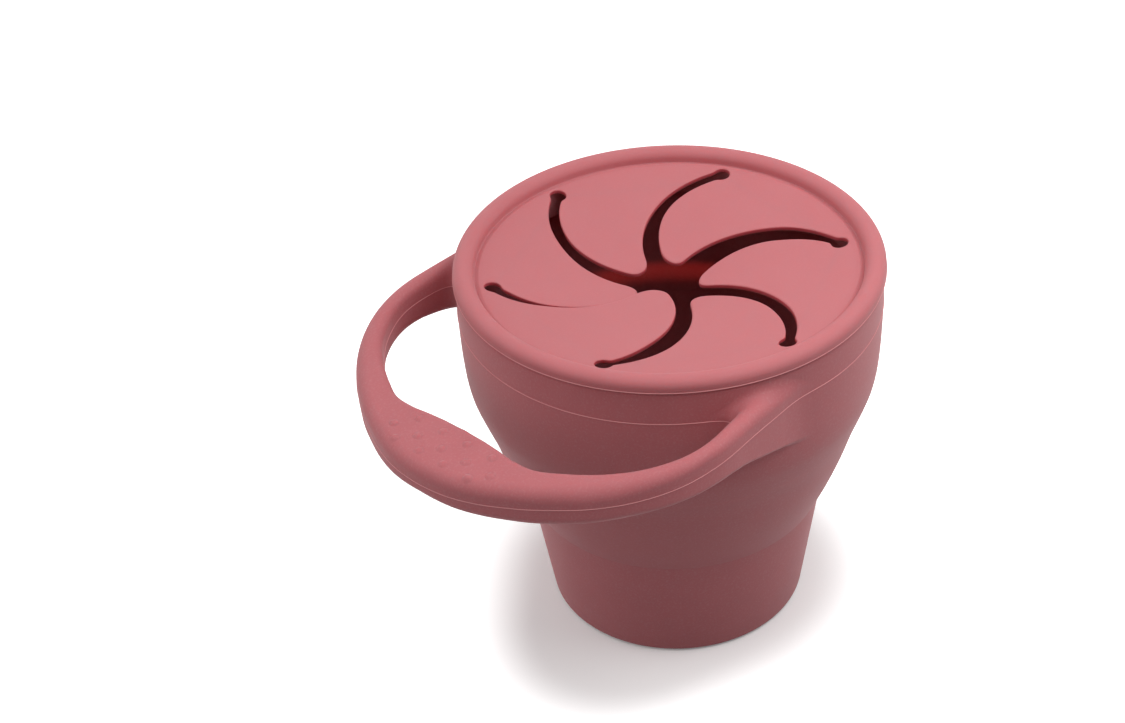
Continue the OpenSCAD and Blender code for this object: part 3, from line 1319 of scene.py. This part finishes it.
@dataclass
class FlapPattern:
    """Six curved slots that start at relief holes and meet in the middle."""

    cuts: tuple[SlotCut, ...] = (
        SlotCut(40.6, -0.64, 37.4, 25.2, 1.03, 2.14, 1.75, -0.20),
        SlotCut(40.9, -0.53, 32.4, 21.25, 1.05, 1.73, 2.28, 0.21),
        SlotCut(40.7, 0.48, 32.5, 22.75, 1.12, 2.48, 3.44, -0.03),
        SlotCut(41.6, 0.89, 33.6, 23.67, 1.36, 1.37, 2.06, -0.07),
        SlotCut(41.45, -0.02, 35.1, 24.1, 1.22, 1.33, 2.47, 0.64),
        SlotCut(41.0, -0.11, 36.7, 22.73, 1.30, 0.38, 0.15, -0.22),
    )
    ring: float = 41.0
    phase: float = 20.9
    hole_r: float = 1.97
    hole_blend: float = 0.6
    sweep: float = 112.0
    centre: Point = (-1.34, -3.38)
    centre_r: float = 3.55
    tip_round: float = 4.49
    edge_round: float = 0.38
    middle_ramp: Point = (0.0, 0.4)
    belly_ramp: Point = (0.4, 0.5)
    bow_ramp: Point = (0.3, 0.5)
    slope_step: float = 0.01
    cell: float = 0.2
    spare_cells: int = 30
    spacing: float = 0.42
    least_points: int = 20

    def way(self, k: float) -> float:
        """Angle of corner k of the ring of root lines, in radians."""
        return math.radians(self.phase + k * 360 / PETALS)

    def corner(self, k: int) -> Array:
        """Corner k of the ring of root lines."""
        return self.ring * spoke(self.way(k))

    def hole(self, k: int) -> Array:
        """Centre of relief hole k."""
        cut = self.cuts[k]
        return cut.hole_ring * spoke(self.way(k) + cut.hole_side / self.ring)

    def slot(self, k: int, p: Array) -> Array:
        """Measures the distance to slot k with its relief hole.

        Args:
            k: Number of the slot.
            p: Points of the plan in mm, one in each row.

        Returns:
            The signed distance in mm, negative in the slot.
        """
        cut, h = self.cuts[k], self.hole(k)
        a = math.atan2(h[1], h[0]) + math.pi + math.radians(cut.turn)
        middle = h + cut.curve_r * spoke(a)
        rel = p - middle
        start = math.atan2(h[1] - middle[1], h[0] - middle[0])
        swing = np.arctan2(rel[:, 1], rel[:, 0]) - start
        swing = (swing + math.pi) % ALL_ROUND - math.pi
        t = swing * cut.curve_r / self.ring
        half = cut.neck + (cut.middle - cut.neck) * ramp(t, *self.middle_ramp)
        half = half + (cut.belly - cut.middle) * ramp(t, *self.belly_ramp)
        away = np.hypot(rel[:, 0], rel[:, 1]) - cut.curve_r - cut.bow * ramp(t, *self.bow_ramp)
        past = (swing - math.radians(self.sweep)) * cut.curve_r
        strip = np.maximum(np.abs(away) - half, np.maximum(-swing * cut.curve_r, past))
        return soft_min(strip, np.hypot(*(p - h).T) - self.hole_r, self.hole_blend)

    def void(self, p: Array) -> Array:
        """Measures the distance to the open slots.

        Args:
            p: Points of the plan in mm, one in each row.

        Returns:
            The signed distance in mm, negative where the lid is open.
        """
        out = np.hypot(p[:, 0] - self.centre[0], p[:, 1] - self.centre[1]) - self.centre_r
        for k in range(PETALS):
            out = soft_min(out, self.slot(k, p), self.tip_round)
        return out

    def slope(self, p: Array) -> Array:
        """Slope of the distance to the slots at each point."""
        return gradient(self.void, p, self.slope_step)

    def contours(self) -> list[Array]:
        """Traces the outline of the open slots.

        Returns:
            Closed lines of evenly spread points.
        """
        cell = self.cell
        n = int(2 * self.ring / cell) + self.spare_cells
        axis = (np.arange(n) - n / 2 + 0.5) * cell
        gx, gy = np.meshgrid(axis, axis, indexing="ij")
        f = self.void(np.stack([gx.ravel(), gy.ravel()], 1)).reshape(n, n)
        inside = f < 0
        points: dict[Crossing, Array] = {}
        links: dict[Crossing, list[Crossing]] = {}

        def crossing(i: int, j: int, way: int) -> Crossing:
            """Notes where the outline crosses one grid edge.

            Args:
                i: Column of the edge's first point.
                j: Row of the edge's first point.
                way: 0 for an edge along X, 1 for one along Y.

            Returns:
                Key of the crossing.
            """
            key = (i, j, way)
            if key not in points:
                a = f[i, j]
                b = f[i + 1, j] if way == 0 else f[i, j + 1]
                t = a / (a - b)
                end = (axis[i] + cell * t, axis[j]) if way == 0 else (axis[i], axis[j] + cell * t)
                points[key] = np.array(end)
            return key

        mixed = inside[:-1, :-1].astype(int) + inside[1:, :-1] + inside[:-1, 1:] + inside[1:, 1:]
        for i, j in np.argwhere((mixed > 0) & (mixed < 4)):
            sides = ((0, 0, 0), (1, 0, 1), (0, 1, 0), (0, 0, 1))
            hit = [
                crossing(i + di, j + dj, way)
                for di, dj, way in sides
                if inside[i + di, j + dj] != inside[i + di + 1 - way, j + dj + way]
            ]
            for a, b in zip(hit[::2], hit[1::2]):
                links.setdefault(a, []).append(b)
                links.setdefault(b, []).append(a)
        loops, left = [], set(links)
        while left:
            first = min(left)
            line, last, here = [first], None, first
            left.discard(first)
            while True:
                ahead = [k for k in links[here] if k != last and (k in left or k == first)]
                if not ahead or ahead[0] == first and len(line) > 2:
                    break
                last, here = here, ahead[0]
                left.discard(here)
                line.append(here)
            loops.append(np.array([points[k] for k in line]))
        return [self.even(loop) for loop in loops if len(loop) > self.least_points]

    def even(self, loop: Array) -> Array:
        """Spreads a closed line's points evenly and puts them on the outline.

        Args:
            loop: Points of the plan in mm, one in each row.

        Returns:
            The evenly spread points.
        """
        ring = np.concatenate([loop, loop[:1]])
        run = np.concatenate([[0], np.cumsum(np.linalg.norm(np.diff(ring, axis=0), axis=1))])
        count = int(run[-1] / self.spacing)
        at = np.arange(count) * run[-1] / count
        p = np.stack([np.interp(at, run, ring[:, 0]), np.interp(at, run, ring[:, 1])], 1)
        return settle(self.void, p, least=NEVER_ZERO, step=self.slope_step)


@dataclass
class Lid:
    """Push-in lid: rolled edge, plug ring, dished plate and six flexing flaps."""

    pattern: FlapPattern = field(default_factory=FlapPattern)
    top: list[Point] = field(
        default_factory=lambda: [
            (0.0, 86.6), (6.0, 87.2), (12.0, 88.1), (20.0, 89.4), (30.0, 91.0), (38.0, 92.1),
            (41.0, 92.6), (43.0, 92.95), (44.3, 93.1),
        ]
    )
    plate: float = 1.25
    plate_r: float = 44.1
    groove: tuple[float, float, float] = (45.15, 92.75, 0.3)
    roll_from: float = 1.0
    roll_r: float = 2.45
    roll_in: float = 2.35
    roll_up: float = 2.15
    roll_x: float = 47.55
    roll_z: float = 93.85
    roll_steps: int = 30
    tuck: float = 0.2
    seat_z: float = 92.65
    seat_rounds: Point = (0.3, 0.5)
    plug_in: float = 44.3
    plug_out: float = 46.3
    plug_low: float = 84.5
    plug_root: Point = (0.4, 3.0)
    plug_taper: Point = (0.3, 0.2)
    plug_rounds: Point = (0.6, 0.7)
    plate_round: float = 0.15
    root_x: float = 35.507
    root_steps: int = 32
    bend_out: float = 0.4
    bend_in: float = 6.0
    bend_z: float = 91.0
    lifted: int = 5
    lift: float = 2.0
    grid: float = 1.3
    grid_row: float = 0.866
    insets: tuple[float, ...] = (0.0, 0.12, 0.45, 1.0, 2.2)
    rim_step: float = 0.25
    clear_rim: float = 0.7
    clear_slot: float = 1.3
    clear_root: float = 0.5
    line_z: float = 92.95
    line_radius: float = 0.11
    touch: float = 1e-3
    seam: float = 2e-3
    on_rim: float = 0.01
    upright: float = 0.5

    def plate_z(self, r: Array) -> Array:
        """Height of the plate's top at a radius."""
        return hermite(self.top, np.minimum(r, self.plate_r))

    def plan(self) -> tuple[Array, Triangles, Array]:
        """Cuts the plate into triangles seen from above.

        Returns:
            Points, triangles, and for each triangle its owner: -1 for the margin or a flap's number.
        """
        pts: list[Array] = []
        edges: list[tuple[int, int]] = []

        def add_ring(ring: Array) -> None:
            """Adds a closed line that the triangles must follow."""
            start = sum(len(p) for p in pts)
            pts.append(ring)
            edges.extend((start + i, start + (i + 1) % len(ring)) for i in range(len(ring)))

        b = self.pattern.edge_round
        for loop in self.pattern.contours():
            n = unit(self.pattern.slope(loop))
            for inset in self.insets:
                add_ring(loop + n * (inset * b))
        for r in (self.plate_r, self.plate_r - self.rim_step):
            add_ring(circle(r, full_turn(ROUND_STEPS), 0.0)[:, :2])
        for k in range(PETALS):
            a, c = self.pattern.corner(k), self.pattern.corner((k + 1) % PETALS)
            start = sum(len(p) for p in pts)
            share = np.linspace(0, 1, self.root_steps + 1)[:, None]
            pts.append(a * (1 - share) + c * share)
            edges.extend((start + i, start + i + 1) for i in range(self.root_steps))
        n = int(self.plate_r / self.grid) + 1
        i, j = np.meshgrid(np.arange(-n, n + 1), np.arange(-n, n + 1), indexing="ij")
        across, up = (i + 0.5 * (j % 2)).ravel(), j.ravel()
        fill = np.stack([across * self.grid, up * self.grid * self.grid_row], 1)
        keep = np.hypot(*fill.T) < self.plate_r - self.clear_rim
        keep &= self.pattern.void(fill) > self.clear_slot
        keep &= np.abs(self.chord_depth(fill)) > self.clear_root
        pts.append(fill[keep])
        flat = [Vector(p) for p in np.concatenate(pts)]
        verts, _, faces, *_ = delaunay_2d_cdt(flat, edges, [], 0, SAME_POINT)
        v = np.array([tuple(p) for p in verts])
        f = np.array([tuple(t) for t in faces])
        mid = v[f].mean(1)
        solid = (self.pattern.void(mid) > 0) & (np.hypot(*mid.T) < self.plate_r - self.touch)
        f, mid = f[solid], mid[solid]
        area = np.cross(v[f[:, 1]] - v[f[:, 0]], v[f[:, 2]] - v[f[:, 0]])
        f[area < 0] = f[area < 0][:, ::-1]
        owner = self.owners(v, f, mid)
        return v, [tuple(t) for t in f], owner

    def chord_depth(self, p: Array) -> Array:
        """How far inside the ring of root lines each point lies."""
        return np.min([self.root_x - p @ self.root_way(k) for k in range(PETALS)], axis=0)

    def root_way(self, k: int) -> Array:
        """Direction from the axis to the middle of flap k's root line."""
        return spoke(self.pattern.way(k + 0.5))

    def owners(self, v: Array, f: Array, mid: Array) -> Array:
        """Shares the triangles out between the flaps and the margin.

        Args:
            v: Points of the plan.
            f: Triangles, one in each row.
            mid: Middle of each triangle.

        Returns:
            For each triangle the number of its flap, or -1 for the margin.
        """
        flap = self.chord_depth(mid) > 0
        root = list(range(len(v)))

        def find(a: int) -> int:
            """Finds a point's group."""
            while root[a] != a:
                root[a] = root[root[a]]
                a = root[a]
            return a

        for tri in f[flap]:
            a, b, c = (find(int(t)) for t in tri)
            root[b] = a
            root[find(c)] = a
        owner = np.full(len(f), -1)
        groups: dict[int, list[int]] = {}
        for i in np.flatnonzero(flap):
            groups.setdefault(find(int(f[i][0])), []).append(i)
        for members in groups.values():
            depth = np.array([self.root_x - mid[members] @ self.root_way(k) for k in range(PETALS)])
            owner[members] = int(np.argmin(depth.min(1)))
        return owner

    def lift_of(self, k: int, p: Array) -> Array:
        """Turns a flap up a little, the way it has set.

        Args:
            k: Number of the flap, or -1 for the margin.
            p: Points in mm, one in each row.

        Returns:
            The points in their set place.
        """
        if k != self.lifted or self.lift == 0:
            return p
        way = self.root_way(k)
        inner = self.root_x - p[:, :2] @ way
        angle = math.radians(self.lift) * ramp(inner, -self.bend_out, self.bend_in + self.bend_out)
        dz = p[:, 2] - self.bend_z
        along = -inner * np.cos(angle) - dz * np.sin(angle)
        up = inner * np.sin(angle) + dz * np.cos(angle)
        moved = p.copy()
        moved[:, :2] += np.outer(along + inner, way)
        moved[:, 2] = self.bend_z + up
        return moved

    def solid_part(self, name: str, v: Array, tris: Triangles, k: int) -> bpy.types.Object:
        """Raises one part of the plan into a closed plate with rounded slot edges.

        Args:
            name: Name of the piece.
            v: Points of the whole plan.
            tris: Triangles of this part.
            k: Number of the flap, or -1 for the margin.

        Returns:
            The piece, still with its walls along the root lines.
        """
        used = sorted({i for t in tris for i in t})
        at = {i: n for n, i in enumerate(used)}
        p = v[used]
        r = np.hypot(*p.T)
        d = np.maximum(self.pattern.void(p), 0)
        b = self.pattern.edge_round
        drop = np.where(d < b, b - np.sqrt(np.maximum(b * b - (b - np.minimum(d, b)) ** 2, 0)), 0)
        top = self.plate_z(r) - drop
        low = self.plate_z(r) - self.plate + drop
        count = len(used)
        verts = np.concatenate([np.column_stack([p, top]), np.column_stack([p, low])])
        faces = [tuple(at[i] for i in t) for t in tris]
        faces += [tuple(at[i] + count for i in t[::-1]) for t in tris]
        border: dict[tuple[int, int], int] = {}
        for t in tris:
            for a, c in zip(t, t[1:] + t[:1]):
                border[(a, c)] = border.get((a, c), 0) + 1
        for a, c in border:
            if (c, a) not in border:
                if min(r[at[a]], r[at[c]]) <= self.plate_r - self.on_rim:
                    faces.append((at[a], at[a] + count, at[c] + count, at[c]))
        return new_piece(name, self.lift_of(k, verts), faces)

    def edge_section(self) -> list[Point]:
        """Draws the section of the lid's round outside.

        Returns:
            Points (radius, height) from the plate's top round to its underside.
        """
        roll = []
        for a in np.linspace(math.pi * self.roll_from, 0, self.roll_steps):
            across = self.roll_r if a < math.pi / 2 else self.roll_in
            roll.append((self.roll_x + across * math.cos(a), self.roll_z + self.roll_up * math.sin(a)))
        edge_z = float(hermite(self.top, self.plate_r))
        under = edge_z - self.plate
        groove = rounded([(self.plate_r, edge_z, 0.0), self.groove, (*roll[0], 0.0)])[:-1]
        edge_r = self.roll_x + self.roll_r
        (wider, deeper), (lean_out, lean_in) = self.plug_root, self.plug_taper
        (seat, root), (shoulder, tip) = self.seat_rounds, self.plug_rounds
        rest = rounded(
            [
                (edge_r, self.roll_z - self.tuck, 0.0),
                (edge_r, self.seat_z, seat),
                (self.plug_out + wider, self.seat_z, root),
                (self.plug_out, self.plug_low + deeper, shoulder),
                (self.plug_out - lean_out, self.plug_low, tip),
                (self.plug_in + lean_in, self.plug_low, tip),
                (self.plug_in, under, self.plate_round),
                (self.plate_r, under, 0.0),
            ]
        )
        return groove + roll + rest

    def build_margin(self, v: Array, tris: Triangles) -> bpy.types.Object:
        """Makes the fixed part of the lid in one piece.

        Args:
            v: Points of the whole plan.
            tris: Triangles of the margin.

        Returns:
            The plate's margin with the rolled edge and the plug ring.
        """
        piece = self.solid_part("lid_plate_and_edge", v, tris, -1)
        section = self.edge_section()
        turn = full_turn(ROUND_STEPS)
        mesh = piece.data
        base = np.array([tuple(x.co) for x in mesh.vertices]) / MM
        faces = [tuple(p.vertices) for p in mesh.polygons]
        start = len(base)
        verts = np.concatenate([base, *(circle(r, turn, z) for r, z in section)])
        for j in range(len(section) - 1):
            for i in range(ROUND_STEPS):
                n = (i + 1) % ROUND_STEPS
                a, c = start + j * ROUND_STEPS, start + (j + 1) * ROUND_STEPS
                faces.append((a + i, c + i, c + n, a + n))
        bpy.data.objects.remove(piece)
        piece = new_piece("lid_plate_and_edge", verts, faces)
        self.weld(piece)
        return piece

    @staticmethod
    def weld(piece: bpy.types.Object) -> None:
        """Joins points that lie in the same place.

        Args:
            piece: The piece to join up.
        """
        work = bmesh.new()
        work.from_mesh(piece.data)
        bmesh.ops.remove_doubles(work, verts=work.verts, dist=WELD)
        work.to_mesh(piece.data)
        work.free()

    def build(self, material: bpy.types.Material, flash: bpy.types.Material) -> list[bpy.types.Object]:
        """Makes the margin, the six flaps and the mould line of the lid.

        Args:
            material: Material of the margin and the flaps.
            flash: Material of the mould line, whose lighter tone is a painted highlight.

        Returns:
            All the pieces of the lid.
        """
        v, tris, owner = self.plan()
        by_owner: dict[int, Triangles] = {}
        for t, who in zip(tris, owner):
            by_owner.setdefault(int(who), []).append(t)
        made = []
        margin = self.build_margin(v, by_owner[-1])
        self.finish_normals(margin)
        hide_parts("lid_rolled_edge", "lid_plug_ring", "lid_margin")
        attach(margin, "lid")
        made.append(dress(margin, material))
        for k in range(PETALS):
            name = f"petal_{k + 1}"
            flap = self.solid_part(f"flap_{k + 1}", v, by_owner[k], k)
            self.finish_normals(flap)
            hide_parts(name)
            dress(flap, material)
            way = self.root_way(k)
            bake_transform(flap)
            made.append(flap)
        turn = np.radians(np.arange(0, 360, 1.0))
        ring = circle(self.roll_x + self.roll_r, turn, self.line_z)
        line = bead("lid_mould_line", ring, self.line_radius)
        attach(line, "lid")
        made.append(dress(line, flash))
        return made

    def finish_normals(self, piece: bpy.types.Object) -> None:
        """Keeps the hidden walls on the root lines from bending the shading of the top.

        Args:
            piece: The margin or a flap.
        """
        mesh = piece.data
        n = np.zeros(len(mesh.polygons) * 3)
        mesh.polygons.foreach_get("normal", n)
        n = n.reshape(-1, 3)
        co = np.array([tuple(x.co) for x in mesh.vertices])[:, :2] / MM
        seam = np.abs(self.chord_depth(co)) < self.seam
        hidden = np.array(
            [all(seam[i] for i in p.vertices) and abs(p.normal.z) < self.upright for p in mesh.polygons]
        )
        corner: dict[int, Array] = {}
        for poly, out, hide in zip(mesh.polygons, n, hidden):
            if not hide:
                for i in poly.vertices:
                    corner[i] = corner.get(i, 0) + out * poly.area
        normals = []
        for poly, out, hide in zip(mesh.polygons, n, hidden):
            for i in poly.vertices:
                w = out if hide else corner[i]
                normals.append(w / np.linalg.norm(w))
        set_normals(piece, np.array(normals))


# ---------------------------------------------------------------- studio


@dataclass
class Studio:
    """White table, soft lamps and the camera."""

    camera_at: tuple[float, float, float] = (317.297, 279.735, 374.5)
    right: tuple[float, float, float] = (-0.67675, 0.73425, -0.05377)
    up: tuple[float, float, float] = (-0.46298, -0.36766, 0.80652)
    forward: tuple[float, float, float] = (-0.57242, -0.5707, -0.58876)
    lens: float = 70.17
    film: float = 36.0
    sees_from: float = 0.01
    sees_to: float = 50.0
    floor_half: float = 6.0
    floor_rough: float = 0.9
    floor_shine: float = 0.1
    floor_drop: float = 0.00005
    floor_tone: float = 0.9
    floor_bounce: float = 0.24
    lift_shade: float = 0.11
    lift_open: float = 0.75
    shade_turn: float = 10.0
    shade_power: float = 5.5
    shade_near: float = 33.4
    shade_far: float = 47.6
    shade_width: float = 21.4
    sky: float = 0.31
    lamp_spread: float = 65.0
    lamps: tuple[tuple[str, float, tuple[float, float, float]], ...] = (
        ("overhead_lamp", 0.37, (0.0, 0.0, 1.0)),
        ("side_lamp", 0.95, (0.68, -0.73, 0.8)),
    )
    box_power: float = 1.08
    box_size: float = 0.35
    box_at: tuple[float, float, float] = (-0.132, 0.217, 0.42)
    box_aim: float = 0.08

    def camera(self) -> None:
        """Places the camera."""
        data = bpy.data.cameras.new("view_camera")
        data.lens = self.lens
        data.sensor_width = self.film
        data.clip_start, data.clip_end = self.sees_from, self.sees_to
        cam = bpy.data.objects.new("view_camera", data)
        rows = [[self.right[i], self.up[i], -self.forward[i], self.camera_at[i] * MM] for i in range(3)]
        cam.matrix_world = Matrix([*rows, [0.0, 0.0, 0.0, 1.0]])
        bpy.context.scene.camera = put(cam)

    @staticmethod
    def shown(sheet: NodeSheet) -> Socket:
        """Marks the rays that show the white surroundings.

        Args:
            sheet: Where the nodes go.

        Returns:
            1 for those rays and 0 for the rest.
        """
        path = sheet.add("ShaderNodeLightPath").outputs
        total = path["Is Camera Ray"]
        for label in ("Is Glossy Ray", "Is Transmission Ray"):
            total = sheet.reckon("MAXIMUM", total, path[label])
        return total

    def shadow_edge(self, sheet: NodeSheet) -> Socket:
        """Marks a painted shadow zone round the cup on the table.

        Args:
            sheet: Where the nodes go.

        Returns:
            A value that rises from 0 in the painted shadow zone to 1 on the open table.
        """
        place = sheet.add("ShaderNodeTexCoord").outputs["Object"]
        away = sheet.add("ShaderNodeVectorMath", operation="LENGTH")
        sheet.join(place, away.inputs[0])
        distance = away.outputs["Value"]
        turned = math.radians(self.shade_turn)
        along = sheet.add("ShaderNodeVectorMath", operation="DOT_PRODUCT")
        sheet.join(place, along.inputs[0])
        along.inputs[1].default_value = (math.cos(turned), math.sin(turned), 0.0)
        share = sheet.reckon("DIVIDE", along.outputs["Value"], distance, clamp=True)
        narrow = sheet.reckon("POWER", share, self.shade_power)
        near = sheet.between(narrow, self.shade_near * MM, self.shade_far * MM)
        end = sheet.reckon("ADD", near, self.shade_width * MM)
        rise = sheet.add("ShaderNodeMapRange", interpolation_type="SMOOTHSTEP")
        for source, label in ((distance, "Value"), (near, "From Min"), (end, "From Max")):
            sheet.join(source, rise.inputs[label])
        return rise.outputs["Result"]

    def floor(self) -> None:
        """Makes the table top, white to the camera, with the lamps' shadow of the cup and a painted shadow
        zone round it.
        """
        h = self.floor_half
        mesh = bpy.data.meshes.new("table_top")
        z = -self.floor_drop
        mesh.from_pydata([(-h, -h, z), (h, -h, z), (h, h, z), (-h, h, z)], [], [(0, 1, 2, 3)])
        top = put(bpy.data.objects.new("table_top", mesh))
        white = bpy.data.materials.new("table_white")
        white.use_nodes = True
        sheet = NodeSheet(white.node_tree)
        shader = white.node_tree.nodes["Principled BSDF"]
        seen = self.shown(sheet)
        # Painted shadow: the camera's white lift stays lower in a fixed soft zone round the cup.
        lift = sheet.between(self.shadow_edge(sheet), self.lift_shade, self.lift_open)
        greys = [(tone, tone, tone) for tone in (self.floor_bounce, self.floor_tone)]
        for source, label in (
            (self.floor_rough, "Roughness"),
            (self.floor_shine, "Specular IOR Level"),
            (sheet.mixed(seen, *greys), "Base Color"),
            (sheet.reckon("MULTIPLY", seen, lift), "Emission Color"),
            (1.0, "Emission Strength"),
        ):
            sheet.feed(source, shader.inputs[label])
        side = sheet.add("ShaderNodeNewGeometry")
        clear = sheet.add("ShaderNodeBsdfTransparent")
        one_sided = sheet.add("ShaderNodeMixShader")
        sheet.join(side.outputs["Backfacing"], one_sided.inputs["Fac"])
        sheet.join(shader.outputs["BSDF"], one_sided.inputs[1])
        sheet.join(clear.outputs["BSDF"], one_sided.inputs[2])
        sheet.join(one_sided.outputs["Shader"], white.node_tree.nodes["Material Output"].inputs["Surface"])
        mesh.materials.append(white)

    def light(self) -> None:
        """Sets the even sky and the broad lamp overhead."""
        world = bpy.data.worlds.new("studio_sky")
        world.use_nodes = True
        tree = world.node_tree
        sheet = NodeSheet(tree)
        back = tree.nodes["Background"].inputs
        sheet.feed(WHITE, back["Color"])
        sheet.join(sheet.between(self.shown(sheet), self.sky, 1.0), back["Strength"])
        bpy.context.scene.world = world
        for name, power, way in self.lamps:
            lamp = bpy.data.lights.new(name, "SUN")
            lamp.energy, lamp.angle = power, math.radians(self.lamp_spread)
            self.hang(lamp, Vector(way), Vector(way))
        soft = bpy.data.lights.new("near_softbox", "AREA")
        soft.shape = "DISK"
        soft.energy, soft.size = self.box_power, self.box_size
        self.hang(soft, Vector(self.box_at), Vector(self.box_at) - Vector((0.0, 0.0, self.box_aim)))

    @staticmethod
    def hang(lamp: bpy.types.Light, at: Vector, back: Vector) -> None:
        """Places a lamp.

        Args:
            lamp: The lamp.
            at: Where it hangs, in metres.
            back: Way that it shines away from.
        """
        hung = put(bpy.data.objects.new(lamp.name, lamp))
        hung.location = at
        hung.rotation_euler = back.to_track_quat("Z", "Y").to_euler()

    def build(self) -> None:
        """Sets up the whole studio."""
        self.camera()
        self.floor()
        self.light()
        bpy.context.scene.view_settings.view_transform = "Standard"


def main() -> None:
    """Builds every piece of the cup and reports it."""
    logging.basicConfig(level=logging.INFO, format="%(message)s")
    Studio().build()
    cup, wall_glow_skin, lid, flash = (
        f.material() for f in (CUP_FINISH, WALL_PAINTED_GLOW_FINISH, LID_FINISH, FLASH_HIGHLIGHT_FINISH)
    )
    wall = CupWall()
    handle = LoopHandle(wall)
    made = [
        BaseCup(wall).build(cup),
        FoldWall(wall).build(cup),
        UpperWall(wall).build(wall_glow_skin),
        handle.build(cup),
        GripDots(handle).build(cup),
        *MouldLines(handle).build(flash),
        *Lid().build(lid, flash),
    ]
    for piece in made:
        log.info("%s: %d faces", piece.name, len(piece.data.polygons))


if __name__ == "__main__":
    main()
